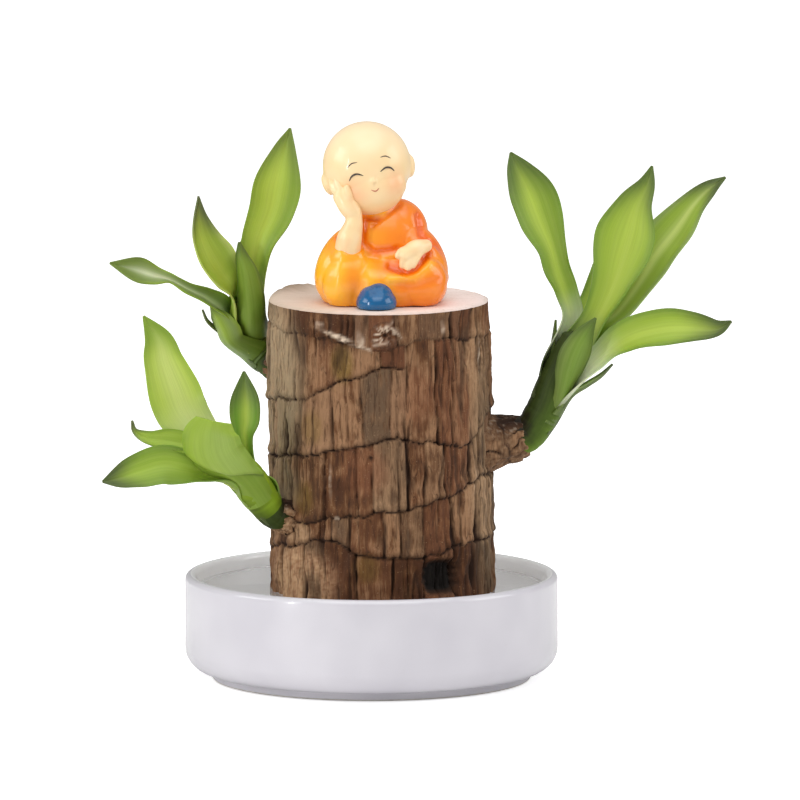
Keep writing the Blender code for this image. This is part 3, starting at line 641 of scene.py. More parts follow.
@dataclass
class Dish:
    """The round glazed dish with its small foot."""

    radius: float = 55.0
    height: float = 31.0
    wall: float = 3.3
    floor: float = DISH_FLOOR
    corner: float = 7.0
    inner_corner: float = 5.0
    foot_radius: float = 47.0
    foot_height: float = 2.4
    recess: float = 0.8
    sides: int = 160

    def build(self) -> bpy.types.Object:
        """Shape the dish from a cylinder by insets, extrusions and bevels."""
        deselect()
        body = self.height - self.foot_height
        bpy.ops.mesh.primitive_cylinder_add(
            vertices=self.sides, radius=self.radius * MM, depth=body * MM,
            location=(0.0, 0.0, (self.foot_height + body * 0.5) * MM),
        )
        bpy.ops.object.transform_apply(location=True)
        dish = bpy.context.active_object
        dish.name = dish.data.name = "glazed_dish"
        with Editing(dish) as edit:
            self.hollow(edit)
            self.foot(edit)
            self.round_edges(edit)
            bpy.ops.mesh.select_all(action="SELECT")
            bpy.ops.mesh.normals_make_consistent(inside=False)
        dress(dish, Glaze().make(), BareClay().make())
        # The inside gets a whiter copy of the glaze with subsurface light: painted light that brightens the shaded
        # inside of the dish.
        painted_light_lining = Glaze("painted_light_lining_glaze", linear(250, 250, 251), linear(246, 246, 248), depth=1.0)
        dish.data.materials.append(painted_light_lining.make())
        inside = (self.radius - self.wall * 0.5) * MM
        for face in dish.data.polygons:
            reach = math.hypot(face.center.x, face.center.y)
            if face.center.z < 0.4 * MM and reach > 0.04:
                face.material_index = 1
            elif face.center.z > self.floor * 0.9 * MM and reach < inside and face.normal.z > -0.5:
                face.material_index = 2
        smooth_shading(dish)
        settle(dish, Slot.GLAZE.value, "dish")
        return dish

    def hollow(self, edit: Editing) -> None:
        """Sink the inside from the top face."""
        top = self.height * MM - 1e-5
        edit.faces(lambda face: face.normal.z > 0.9 and face.calc_center_median().z > top)
        bpy.ops.mesh.inset(thickness=self.wall * MM)
        bpy.ops.mesh.extrude_region_move(
            TRANSFORM_OT_translate={"value": (0.0, 0.0, (self.floor - self.height) * MM)}
        )

    def foot(self, edit: Editing) -> None:
        """Draw the foot out of the underside and sink its middle a little."""
        edit.faces(lambda face: face.normal.z < -0.9 and face.calc_area() > 1e-4)
        bpy.ops.mesh.inset(thickness=(self.radius - self.foot_radius) * MM)
        bpy.ops.mesh.extrude_region_move(
            TRANSFORM_OT_translate={"value": (0.0, 0.0, -self.foot_height * MM)}
        )
        bpy.ops.mesh.inset(thickness=4.0 * MM)
        bpy.ops.mesh.extrude_region_move(
            TRANSFORM_OT_translate={"value": (0.0, 0.0, self.recess * MM)}
        )

    def round_edges(self, edit: Editing) -> None:
        """Round the lip, the corners of the wall and the edge of the foot."""
        bpy.ops.mesh.select_mode(type="EDGE")
        inside = self.radius - self.wall
        rounds = (
            (self.radius, self.foot_height, self.corner, 10),
            (inside, self.floor, self.inner_corner, 8),
            (self.radius, self.height, self.wall * 0.49, 6),
            (inside, self.height, self.wall * 0.49, 6),
            (self.foot_radius, 0.0, 0.5, 3),
        )
        for radius, height, size, segments in rounds:
            edit.edges(
                lambda p, r=radius, h=height: abs(math.hypot(p.x, p.y) - r) < 0.05 and abs(p.z - h) < 0.05
            )
            bpy.ops.mesh.bevel(offset=size * MM, offset_type="OFFSET", segments=segments, affect="EDGES")


@dataclass
class Water:
    """The water that fills the dish round the wood, drawn up a little where it touches."""

    dish: Dish
    level: float = 26.5
    hole_radius: float = 30.8
    hole_x: float = 3.6
    meniscus: float = 0.5
    sides: int = 160

    def build(self) -> bpy.types.Object:
        """Shape the water as a ring whose top curls up at both of its edges."""
        outer = self.dish.radius - self.dish.wall + 0.15
        bottom = self.dish.floor - 0.1
        corner = self.dish.inner_corner
        profile = [(0.0, bottom, 0.0)]
        profile += [
            (outer - corner + corner * math.sin(turn), bottom + corner * (1.0 - math.cos(turn)), 0.0)
            for turn in (math.pi * 0.5 * step / 6 for step in range(7))
        ]
        for step in range(7):
            inward = step * 0.45
            profile.append((outer - inward, self.level + self.meniscus * math.exp(-inward / 0.6), 0.0))
        for step in range(6, -1, -1):
            outward = step * 0.5
            lift = self.meniscus * math.exp(-max(outward - 1.6, 0.0) / 0.6)
            profile.append((self.hole_radius + outward, self.level + lift, 1.0))
        profile[0] = (self.hole_radius, bottom, 1.0)
        count = len(profile)

        def place(across: float, along: float) -> Vector:
            radius, height, shift = profile[round(along * count) % count]
            angle = 2.0 * math.pi * across
            return Vector((shift * self.hole_x + radius * math.cos(angle), radius * math.sin(angle), height))

        water = sheet_mesh("still_water", self.sides, count, place)
        close_mesh(water)
        dress(water, StillWater().make())
        smooth_shading(water, 60.0)
        settle(water, Slot.WATER.value, "water")
        return water


@dataclass(frozen=True)
class Flake:
    """A raised pale flake of bark: where it is, how long and thick, and how much it slopes."""

    angle: float
    height: float
    length: float
    thickness: float
    slope: float = 0.0
    lift: float = 0.5
    pale: float = 0.8


@dataclass(frozen=True)
class Patch:
    """An oval area of the bark, round an angle in degrees and a height, and how strong it is."""

    angle: float
    height: float
    half_angle: float
    half_height: float
    amount: float = 1.0

    def share(self, angle: float, height: float) -> float:
        """Return how strong the patch is at a place, down to 0 outside."""
        across = ((angle - self.angle + 180.0) % 360.0 - 180.0) / self.half_angle
        along = (height - self.height) / self.half_height
        return self.amount * (1.0 - smooth(0.45, 1.15, math.hypot(across, along)))


RINGS = (
    (
        (-140, 38), (-90, 39), (-58, 41.5), (-28, 45.2), (-10, 40.6), (20, 39.8),
        (46, 42.6), (90, 43.5), (140, 41), (180, 38),
    ),
    (
        (-140, 51), (-90, 48.5), (-45, 49.2), (-19, 52), (11, 54), (37, 57.3),
        (62, 61.5), (90, 62), (140, 61), (180, 56),
    ),
    (
        (-140, 69), (-90, 66.5), (-48, 69), (-16, 72.5), (5, 75.3), (24, 73.8),
        (50, 71.5), (80, 80), (100, 80), (140, 75), (180, 72),
    ),
    (
        (-140, 84), (-90, 83), (-46, 85.8), (-16, 92.9), (5, 96.5), (24, 96.6),
        (60, 93), (100, 91), (140, 87), (180, 85),
    ),
    (
        (-140, 105.5), (-90, 106), (-31, 104.8), (1, 101.6), (23, 104.3), (76, 102.8),
        (130, 103.5), (180, 105),
    ),
)
SHORT_RING, FAINT_RING = 3, 4


@dataclass
class Plate:
    """One plate of bark between two fissures."""

    start: float
    end: float
    lift: float
    tone: float
    tilt: float
    ragged: float
    fissure: float
    grey: float
    rust: float


@dataclass(frozen=True)
class BarkPoint:
    """What the bark is like at one place: its relief, and the shares that its material reads."""

    out: float
    plate_tone: float
    dark_marks_and_shade: float
    flaky: float
    greyed: float
    rusty: float
    mossy: float
    pale: float


@dataclass
class Bark:
    """The bark's relief: bands of plates between ring scars, with knots, flakes and hollows."""

    seed: int = 11
    columns: int = 80
    plate_columns: tuple[int, int] = (2, 4)
    plate_lift: float = 0.45
    plate_relief: float = 0.9
    fissure_depth: float = 1.1
    ring_depth: float = 0.95
    ring_flare: float = 0.5
    knot: tuple[float, float] = (3.2, 106.4)
    dimple: tuple[float, float] = (-5.2, 69.9)
    hollow: Patch = Patch(32.0, 34.0, 11.0, 5.6)
    flakes: tuple[Flake, ...] = (
        Flake(-23.5, 106.2, 4.6, 0.42, -0.26, 0.5, 1.0),
        Flake(-20.0, 105.2, 5.4, 0.38, -0.3, 0.5, 1.0),
        Flake(-15.0, 103.6, 4.0, 0.4, -0.34, 0.5, 0.7),
        Flake(-9.5, 104.6, 1.2, 1.6, -0.6, 0.5, 0.7),
        Flake(-7.0, 102.6, 1.9, 0.5, -0.5, 0.5, 0.8),
        Flake(-32.5, 108.6, 1.4, 0.9, 0.1, 0.3, 0.45),
        Flake(5.2, 109.4, 1.6, 0.6, 0.7, 0.6, 1.0),
        Flake(8.0, 107.6, 2.2, 0.5, -0.9, 0.6, 0.8),
        Flake(0.5, 103.8, 2.2, 0.5, 0.2, 0.5, 0.7),
        Flake(36.0, 107.4, 0.8, 1.4, 0.0, 0.3, 0.5),
        Flake(-27.5, 62.5, 0.5, 3.8, 0.0, 0.3, 0.35),
        Flake(-24.0, 51.6, 0.9, 0.4, 0.0, 0.3, 0.8),
        Flake(66.0, 98.0, 0.5, 3.6, 0.0, 0.2, 0.4),
        Flake(58.0, 60.0, 0.5, 3.4, 0.0, 0.2, 0.4),
    )
    greyed: tuple[Patch, ...] = (
        Patch(-70.0, 88.0, 30.0, 32.0, 0.85),
        Patch(-60.0, 60.0, 16.0, 10.0, 0.6),
        Patch(70.0, 60.0, 18.0, 46.0, 0.35),
        Patch(160.0, 70.0, 60.0, 40.0, 0.35),
    )
    rusty: tuple[Patch, ...] = (
        Patch(-44.0, 33.0, 26.0, 9.0, 0.7),
        Patch(-8.0, 66.0, 14.0, 9.0, 0.45),
        Patch(18.0, 88.0, 16.0, 10.0, 0.35),
        Patch(-150.0, 50.0, 30.0, 20.0, 0.4),
    )
    mossy: tuple[Patch, ...] = (
        Patch(-20.0, 97.6, 7.5, 6.5, 0.62),
        Patch(-38.0, 78.0, 8.0, 6.0, 0.35),
        Patch(-8.0, 37.0, 8.0, 5.0, 0.3),
        Patch(-44.0, 57.0, 8.0, 6.0, 0.4),
    )
    pale: tuple[Patch, ...] = (
        Patch(-52.0, 46.2, 15.0, 3.6, 0.85),
        Patch(-50.0, 32.0, 28.0, 12.0, 1.0),
        Patch(-76.0, 70.0, 16.0, 40.0, 0.4),
        Patch(-70.0, 92.0, 24.0, 22.0, 0.35),
        Patch(64.0, 98.0, 22.0, 12.0, 0.4),
        Patch(62.0, 58.0, 18.0, 14.0, 0.35),
    )
    bands: list[list[Plate]] = field(default_factory=list)

    def __post_init__(self) -> None:
        """Draw the plates of every band."""
        widths, look = random.Random(self.seed), random.Random(self.seed + 1)
        for _ in range(len(RINGS) + 1):
            column, plates = 0, []
            while column < self.columns:
                width = min(widths.randint(*self.plate_columns), self.columns - column)
                lift = widths.uniform(-self.plate_lift, self.plate_lift)
                plates.append(
                    Plate(
                        start=360.0 * column / self.columns,
                        end=360.0 * (column + width) / self.columns,
                        lift=lift,
                        tone=look.uniform(0.15, 0.95),
                        tilt=look.uniform(-0.35, 0.35),
                        ragged=look.uniform(-0.9, 0.9),
                        fissure=look.uniform(0.4, 1.3),
                        grey=look.uniform(-0.4, 0.25),
                        rust=look.uniform(-0.3, 0.35),
                    )
                )
                column += width
            self.bands.append(plates)

    @staticmethod
    def ring_height(ring: tuple, angle: float) -> float:
        """Return a ring scar's height at an angle in degrees, eased between its given points."""
        points = list(ring) + [(ring[0][0] + 360.0, ring[0][1])]
        place = (angle - points[0][0]) % 360.0 + points[0][0]
        for (start, low), (end, high) in zip(points, points[1:]):
            if start <= place <= end:
                t = (place - start) / (end - start)
                return low + (high - low) * t * t * (3.0 - 2.0 * t)
        return points[-1][1]

    @staticmethod
    def ring_strength(number: int, angle: float) -> float:
        """Return how clear a ring scar is at an angle: one is short and one faint."""
        if number == SHORT_RING:
            gap = 1.0 - 0.5 * hump(angle + 43.0, 7.0)
            return 0.12 + 0.88 * gap * (1.0 - smooth(8.0, 18.0, angle)) * smooth(-150.0, -120.0, angle)
        return 0.5 if number == FAINT_RING else 1.0

    @staticmethod
    def line(x: float, y: float, height: float, scale: float, stretch: float, width: float) -> float:
        """Return 1 on thin lines that wander up the bark and 0 away from them."""
        value = noise.noise(Vector((x * scale, y * scale, height * scale * stretch)))
        return 1.0 - smooth(0.0, width, abs(value))

    def plate_at(self, band: int, angle: float) -> tuple[Plate, Plate, float]:
        """Return the plate at an angle, the one after it, and the share across the first."""
        place = (angle + 180.0) % 360.0
        plates = self.bands[band]
        for index, plate in enumerate(plates):
            if place < plate.end or index == len(plates) - 1:
                share = (place - plate.start) / (plate.end - plate.start)
                return plate, plates[(index + 1) % len(plates)], min(max(share, 0.0), 1.0)
        raise ValueError(angle)

    def point(self, angle: float, height: float, radius: float) -> BarkPoint:
        """Return the bark at an angle from the front in degrees and a height.

        Args:
            angle: degrees from the front, to the right.
            height: millimetres above the table.
            radius: the wood's mean radius there.

        Returns:
            The relief and the looks of that place.
        """
        turn = math.radians(angle)
        x, y = radius * math.sin(turn), -radius * math.cos(turn)
        spot = Vector((x, y, height))
        sway = noise.noise(Vector((x * 0.11, y * 0.11, height * 0.055))) * 2.2
        sway += noise.noise(Vector((x * 0.5, y * 0.5, height * 0.2))) * 0.9
        levels = [TRUNK_FOOT - 6.0]
        for number, ring in enumerate(RINGS):
            jag = noise.noise(Vector((x * 0.26, y * 0.26, number * 7.0))) * 1.0
            jag += noise.noise(Vector((x * 0.7, y * 0.7, number * 7.0))) * 0.4
            levels.append(self.ring_height(ring, angle) + jag)
        levels.append(TRUNK_TOP + 6.0)
        band = max(index for index in range(len(RINGS) + 1) if height >= levels[index] or index == 0)
        low = self.ring_strength(band - 1, angle) if band else 0.0
        high = self.ring_strength(band, angle) if band < len(RINGS) else 0.0
        joined = band == SHORT_RING + 1 and low < 0.5 and abs(angle) < 150.0
        plate, after, share = self.plate_at(band - 1 if joined else band, angle + sway)
        width = math.radians(plate.end - plate.start) * radius
        above, below = height - levels[band], levels[band + 1] - height
        near = min(share, 1.0 - share) * width
        strength = plate.fissure if share < 0.5 else after.fissure
        strength *= 0.65 + 1.1 * max(noise.noise(Vector((x * 0.3, y * 0.3, height * 0.1))), -0.35)
        strength *= 1.15 - 0.45 * smooth(60.0, 80.0, height)
        strength *= 1.2 - 0.5 * smooth(-52.0, -38.0, angle) * (1.0 - smooth(26.0, 42.0, angle))
        fissure = min(1.25 * strength * hump(near, 0.26 + 0.2 * strength), 1.0)
        right = smooth(26.0, 40.0, angle) * (1.0 - smooth(100.0, 130.0, angle))
        zone = smooth(-0.1, 0.3, noise.noise(Vector((x * 0.12, y * 0.12, height * 0.04 + 9.0)))) + right
        flute = self.line(x, y, height, 0.42, 0.07, 0.2) * min(zone, 1.0)
        groove = low * (0.6 * hump(above, 0.45) + 0.4 * hump(above + 0.1, 1.1))
        out = self.plate_relief + plate.lift + plate.tilt * (share - 0.5) * 1.6
        out -= 0.24 * hump(near, 0.9)
        ragged = max(above - 0.4 - max(plate.ragged, 0.0), 0.0)
        out += self.ring_flare * low * hump(ragged - 0.5, 1.4)
        end_step = smooth(0.0, 0.4 + max(-plate.ragged, 0.0) * 0.6, below)
        out -= (1.0 - end_step) * 0.6 * high
        out -= self.fissure_depth * fissure + self.ring_depth * groove + 0.6 * flute
        out += noise.noise(spot * 0.16) * 0.65
        grain = Vector((x * 1.15, y * 1.15, height * 0.1))
        out += noise.noise(grain) * 0.32 + noise.noise(grain * 2.1) * 0.2
        out += noise.noise(Vector((x * 0.8, y * 0.8, height * 0.6))) * 0.18
        out = self.plate_relief + (out - self.plate_relief) * (1.0 - 0.8 * smooth(109.4, 112.6, height))
        # Darker in fissures, ring grooves and flutes, and where a plate's end sinks below a ring: partly the cracks'
        # own colour, partly painted shade.
        dark_marks_and_shade = min(1.0, 0.85 * fissure + 0.9 * groove + 0.55 * flute + 0.4 * (1.0 - end_step) * high)
        # Plates are a little lighter a short way from each fissure: a painted highlight along their edges.
        tone = plate.tone + 0.3 * noise.noise(spot * 0.3) + 0.15 * hump(near - 0.8, 0.4)
        tone -= 0.3 * smooth(100.0, 106.0, height) * (1.0 - smooth(38.0, 60.0, abs(angle + 4.0)))
        # Soft painted shade beside the fissures and in a band above each ring scar.
        dark_marks_and_shade = max(dark_marks_and_shade, 0.34 * hump(near, 0.75) * min(strength, 1.0), 0.3 * low * hump(above, 1.6))
        out, dark_marks_and_shade, flaky = self.marks(angle, height, radius, out, dark_marks_and_shade)
        fray = 0.75 + 0.9 * noise.noise(Vector((x * 0.9, y * 0.9, height * 1.3)))
        areas = {
            name: max(patch.share(angle, height) for patch in getattr(self, name))
            for name in ("greyed", "rusty", "mossy", "pale")
        }
        return BarkPoint(
            out=out,
            plate_tone=tone,
            dark_marks_and_shade=max(min(dark_marks_and_shade, 1.5), 0.0),
            flaky=flaky,
            greyed=max(areas["greyed"], max(plate.grey, 0.0)),
            rusty=max(areas["rusty"], max(plate.rust, 0.0)),
            mossy=areas["mossy"],
            pale=min(max(areas["pale"] * fray, 0.0), 1.0),
        )

    def marks(self, angle: float, height: float, radius: float, out: float,
              dark_marks_and_shade: float) -> tuple[float, float, float]:
        """Add the knot, the dimple, the hollow and the pale flakes to one place.

        Args:
            angle: degrees from the front, to the right.
            height: millimetres above the table.
            radius: the wood's mean radius there.
            out: the relief so far.
            dark_marks_and_shade: how dark the place is so far, from dark marks and painted shade.

        Returns:
            The relief, the darkness with its painted shade, and how pale and flaky the place is.
        """
        flaky = 0.0
        per_degree = math.radians(radius)
        fray = noise.noise(Vector((angle * 0.24, height * 0.9, 3.0)))
        across = (angle - self.knot[0]) * per_degree
        along = height - self.knot[1]
        reach = math.hypot(across, along * 1.15)
        if reach < 9.0:
            ways = math.atan2(along, across)
            strand = noise.noise(Vector((math.cos(ways) * 3.4, math.sin(ways) * 3.4, reach * 0.35)))
            sides = 0.25 + 0.75 * max(math.cos(ways - 1.1), math.cos(ways - 3.5) * 0.9, 0.0)
            pale = hump(reach - 2.3, 1.3) * smooth(0.0, 0.3, strand) * sides
            ridge = hump(reach - 3.4, 0.8)
            out += hump(reach, 3.6) * 0.8 + 0.6 * pale + 0.35 * ridge - 1.2 * hump(reach, 0.8)
            flaky = pale
            dark_marks_and_shade *= 1.0 - 0.8 * hump(reach, 2.4)
            # Painted shade in the knot's pit, between its strands and in a ring just outside its ridge.
            dark = hump(reach - 1.5, 0.35) * smooth(-0.1, 0.2, -strand)
            dark_marks_and_shade = max(dark_marks_and_shade, hump(reach, 0.8) * 0.9, 0.8 * dark, 0.4 * hump(reach - 4.2, 0.4))
        dent = math.hypot((angle - self.dimple[0]) * per_degree, height - self.dimple[1])
        out -= 0.9 * hump(dent, 0.9)
        # Painted shade in the dimple.
        dark_marks_and_shade = max(dark_marks_and_shade, 0.9 * hump(dent, 0.8))
        wide = abs(angle + 1.5 * fray - self.hollow.angle) / self.hollow.half_angle
        tall = abs(height - self.hollow.height) / self.hollow.half_height
        deep = 1.0 - smooth(0.6, 1.1, (wide**4 + tall**4) ** 0.25)
        out -= 3.0 * deep
        # Painted shade, darkest in the middle of the hollow.
        dark_marks_and_shade = max(dark_marks_and_shade, 1.5 * deep)
        for flake in self.flakes:
            sideways = (angle - flake.angle) * per_degree
            if abs(sideways) < flake.length * 1.6:
                lift = height - flake.height - flake.slope * sideways - 0.5 * fray
                here = hump(lift, flake.thickness) * (1.0 - smooth(0.6, 1.2, abs(sideways) / flake.length))
                here *= 0.75 + fray
                out += flake.lift * here
                dark_marks_and_shade *= 1.0 - max(min(here, 1.0), 0.0)
                # Painted shadow just below each raised flake.
                dark_marks_and_shade = max(dark_marks_and_shade, 0.75 * hump(lift + 2.1 * flake.thickness, flake.thickness) * here)
                flaky = max(flaky, here * flake.pale)
        return out, dark_marks_and_shade, min(max(flaky, 0.0), 1.0)


@dataclass(frozen=True)
class Collar:
    """A stub of bark that stands out of the wood where a shoot leaves it."""

    start: tuple
    end: tuple
    radii: tuple
    socket_radius: float
    pale: float = 0.2
    knob: float = 0.0
    plates: int = 9
    body: float = 0.7
    lip: float = 2.6

    def crack(self, angle: float, along: float) -> tuple[float, float]:
        """Return how deep in a crack a place is, and the tone of its plate.

        Args:
            angle: radians round the stub, a quarter turn at its top.
            along: share of the stub's length.

        Returns:
            1 in a crack and 0 away from it, and a tone from -0.5 to 0.5.
        """
        drift = noise.noise(Vector((math.cos(angle), math.sin(angle), along * 3.0)))
        place = self.plates * angle / (2.0 * math.pi) + 0.8 * drift
        near = abs(place - round(place))
        tone = noise.noise(Vector((math.floor(place) % self.plates * 5.3, self.start[2], 0.0)))
        return hump(near, 0.07) * smooth(-0.3, 0.1, drift + 0.2), tone


@dataclass
class Trunk:
    """The sawn wood with its plated bark, its sawn top and the stubs that the shoots leave by."""

    foot_x: float = 3.8
    top_x: float = 2.1
    foot_radius: float = 32.5
    top_radius: float = 31.5
    columns: int = 440
    rows: int = 192
    cap_rows: int = 12
    foot_rows: int = 5
    chamfer: float = 0.6
    rim_bump: Patch = Patch(-125.0, 0.0, 32.0, 1.0)
    rim_rise: float = 1.7
    flat_radius: float = 25.5
    bark: Bark = field(default_factory=Bark)
    bark_skin: bpy.types.Material | None = None

    def radius_at(self, height: float) -> float:
        """Return the wood's mean radius at a height."""
        share = (height - TRUNK_FOOT) / (TRUNK_TOP - TRUNK_FOOT)
        return self.foot_radius + (self.top_radius - self.foot_radius) * share

    def centre_at(self, height: float) -> float:
        """Return where the wood's leaning axis is at a height."""
        share = (height - TRUNK_FOOT) / (TRUNK_TOP - TRUNK_FOOT)
        return self.foot_x + (self.top_x - self.foot_x) * share

    def build(self) -> bpy.types.Object:
        """Shape the wood from one grid that covers its foot, its side and its sawn top."""
        self.bark_skin = BarkSkin().make()
        looks: dict[tuple[int, int], BarkPoint] = {}
        total = self.foot_rows + self.rows + self.cap_rows

        def place(across: float, along: float) -> Vector:
            row, column = round(along * total), round(across * self.columns)
            angle = 360.0 * across - 180.0
            side = min(max(row - self.foot_rows, 0), self.rows) / self.rows
            height = TRUNK_FOOT + (TRUNK_TOP - TRUNK_FOOT) * side
            key = (column % self.columns, round(side * self.rows))
            if key not in looks:
                looks[key] = self.bark.point(angle, height, self.radius_at(height))
            radius = self.radius_at(height) + looks[key].out
            if row < self.foot_rows:
                radius *= row / self.foot_rows
            elif row > self.foot_rows + self.rows:
                inward = (row - self.foot_rows - self.rows) / self.cap_rows
                return self.top_point(angle, radius, inward)
            elif side == 1.0:
                height += self.rim(angle) - self.chamfer
            turn = math.radians(angle)
            return Vector((self.centre_at(height) + radius * math.sin(turn), -radius * math.cos(turn), height))

        trunk = sheet_mesh("barked_wood", self.columns, total, place)
        self.store_looks(trunk, looks, total)
        dress(trunk, self.bark_skin, SawnWood().make())
        layer = trunk.data.uv_layers.active.data
        sawn_from = (self.foot_rows + self.rows + 0.5) / total
        for face in trunk.data.polygons:
            along = sum(layer[loop].uv.y for loop in face.loop_indices) / len(face.loop_indices)
            face.material_index = 1 if along > sawn_from else 0
        close_mesh(trunk)
        smooth_shading(trunk, 50.0)
        settle(trunk, Slot.BARK.value, "trunk")
        return trunk

    def rim(self, angle: float) -> float:
        """Return how far the sawn rim stands up at an angle: a rough bump at the back left."""
        across = (angle - self.rim_bump.angle + 180.0) % 360.0 - 180.0
        rough = 0.2 * noise.noise(Vector((angle * 0.2, 3.0, 0.0)))
        if abs(across) >= self.rim_bump.half_angle:
            return rough
        rise = math.cos(math.radians(90.0 * across / self.rim_bump.half_angle)) ** 2
        return self.rim_rise * rise + rough * (1.0 + 1.6 * rise)

    def top_point(self, angle: float, rim_radius: float, inward: float) -> Vector:
        """Return a point of the sawn top.

        Args:
            angle: degrees from the front, to the right.
            rim_radius: the radius of the wood's edge at that angle.
            inward: 0 at the edge, 1 in the middle.

        Returns:
            The point, which is level where the ornament stands.
        """
        radius = (rim_radius - self.chamfer) * (1.0 - inward**1.4)
        turn = math.radians(angle)
        x, y = radius * math.sin(turn), -radius * math.cos(turn)
        rise = self.rim(angle) * smooth(self.flat_radius, self.top_radius, radius)
        rise += 0.08 * noise.noise(Vector((x * 0.4, y * 1.6, 5.0))) - 0.05
        return Vector((self.top_x + x, y, TRUNK_TOP + rise))

    def store_looks(self, trunk: bpy.types.Object, looks: dict, total: int) -> None:
        """Keep what the bark is like at each vertex as attributes that its material reads."""
        names = ("plate_tone", "dark_marks_and_shade", "flaky", "greyed", "rusty", "mossy", "pale")
        values: dict[str, list[float]] = {name: [] for name in (*names, "rim_darkening", "painted_light_to_right")}
        for across, along in point_shares(trunk):
            row, column = round(along * total), round(across * self.columns)
            side = min(max(row - self.foot_rows, 0), self.rows)
            look = looks[(column % self.columns, side)]
            angle = 360.0 * across - 180.0
            for name in names:
                values[name].append(getattr(look, name))
            inward = max(row - self.foot_rows - self.rows, 0) / self.cap_rows
            rise = min(max(self.rim(angle) / self.rim_rise, 0.0), 1.0)
            # Darker towards the rim of the sawn top, most at the raised bump at the back left.
            values["rim_darkening"].append((1.0 - smooth(0.0, 0.12 + 0.3 * rise, inward)) * (0.3 + 0.7 * rise))
            # Painted light across the sawn top: lighter towards the right.
            reach = self.top_radius * (1.0 - inward)
            values["painted_light_to_right"].append(0.5 + 0.5 * reach * math.sin(math.radians(angle)) / self.top_radius)
        for name, numbers in values.items():
            point_values(trunk, name, numbers)

    def build_collar(self, name: str, collar: Collar) -> bpy.types.Object:
        """Shape one flared stub of bark round the foot of a shoot.

        Args:
            name: the stub's name.
            collar: its line, its radii and the hole in its end.

        Returns:
            The stub, which runs into the wood and closes round the stem.
        """
        start, end = Vector(collar.start), Vector(collar.end)
        wide, narrow = collar.radii

        def radius(angle: float, along: float) -> float:
            if along in (0.0, 1.0):
                return 0.0
            body = min(along / collar.body, 1.0)
            size = narrow + (wide - narrow) * (1.0 - body) ** 1.3
            around = Vector((math.cos(angle), math.sin(angle), body))
            size += noise.noise(around * 2.4) * 0.7 + noise.noise(around * 5.5) * 0.5
            size += collar.knob * hump(angle - 1.6 * math.pi, 0.4) * smooth(0.6, 0.95, body)
            size -= 0.7 * collar.crack(angle, along)[0]
            rim = max(along - collar.body, 0.0) / (1.0 - collar.body)
            return size * (1.0 - 0.2 * rim - 0.5 * smooth(0.8, 1.0, rim))

        def centre(share: float) -> Vector:
            past = max(share - collar.body, 0.0) / (1.0 - collar.body)
            reach = collar.lip * smooth(0.0, 0.9, past)
            return start.lerp(end, min(share / collar.body, 1.0)) + (end - start).normalized() * reach

        stub = tube_mesh(name, centre, radius, 96, 64)
        looks: dict[str, list[float]] = {"plate_tone": [], "dark_marks_and_shade": [], "flaky": [], "pale": []}
        for vertex, (across, along) in zip(stub.data.vertices, point_shares(stub)):
            spot, angle = vertex.co / MM, 2.0 * math.pi * across
            crack, tone = collar.crack(angle, along)
            top = smooth(0.1, 0.8, math.sin(angle)) * smooth(0.3, 0.65, along)
            band = hump(along + 0.06 * noise.noise(spot * 0.4) - 0.56, 0.016)
            looks["plate_tone"].append(0.5 + 0.7 * tone + 0.25 * noise.noise(spot * 0.5) - 0.3 * top)
            looks["dark_marks_and_shade"].append(min(1.0, 0.85 * crack + 0.7 * top + 0.6 * band))
            looks["flaky"].append(0.8 * smooth(0.22, 0.4, noise.noise(spot * 1.3)) * top)
            looks["pale"].append(collar.pale * (1.0 - top) * (0.7 + 0.8 * noise.noise(spot * 0.9)))
        for kind, values in looks.items():
            point_values(stub, kind, values)
        dress(stub, self.bark_skin)
        smooth_shading(stub, 60.0)
        settle(stub, Slot.BARK.value, "trunk")
        return stub


class Green(Enum):
    """The greens of the plant, from the palest sheath to the darkest stem."""

    WHITE = linear(222, 228, 196)
    CREAM = linear(208, 216, 158)
    PALE = linear(196, 208, 112)
    LIME = linear(174, 194, 66)
    FRESH = linear(148, 174, 44)
    GRASS = linear(122, 150, 30)
    LEAF = linear(108, 140, 30)
    VIVID = linear(104, 150, 16)
    OLIVE = linear(100, 120, 36)
    SHADE = linear(70, 92, 22)
    DARK = linear(52, 66, 20)
    STEM = linear(44, 54, 20)
    TIP = linear(86, 92, 54)
    GREYED = linear(138, 158, 92)
    WOODY = linear(30, 21, 12)
    SOFT = linear(152, 176, 76)


@dataclass(frozen=True)
class LeafLook:
    """The colours of a leaf: its stripe, blade, margins, tip and base, and where they lie."""

    stripe: Green = Green.LIME
    blade: Green = Green.FRESH
    margin: Green = Green.GRASS
    tip: Green = Green.OLIVE
    base: Green = Green.CREAM
    stripe_at: float = 0.5
    stripe_width: float = 0.24
    base_reach: float = 0.3
    tip_from: float = 0.88
    right_margin: Green | None = None
    foot: Green | None = None

    def colour(self, across: float, along: float) -> Colour:
        """Return the colour at a share across and a share along the leaf."""
        stripe = hump(across - self.stripe_at, self.stripe_width)
        colour = blend(self.blade.value, self.stripe.value, stripe)
        edge = smooth(0.62, 1.0, abs(across - 0.5) * 2.0)
        side = self.right_margin if across > 0.5 and self.right_margin else self.margin
        reach = 0.9 if self.right_margin is None or across < 0.5 else 1.0
        if self.right_margin and across > 0.5:
            edge = smooth(0.25, 0.6, abs(across - 0.5) * 2.0)
        colour = blend(colour, side.value, edge * reach)
        colour = blend(self.base.value, colour, smooth(self.base_reach * 0.35, self.base_reach, along))
        if self.foot:
            colour = blend(self.foot.value, colour, smooth(0.1, 0.2, along))
        tip = smooth(self.tip_from - 0.1, 1.0, along + 0.1 * abs(across - 0.5) * 2.0)
        return blend(colour, self.tip.value, tip)


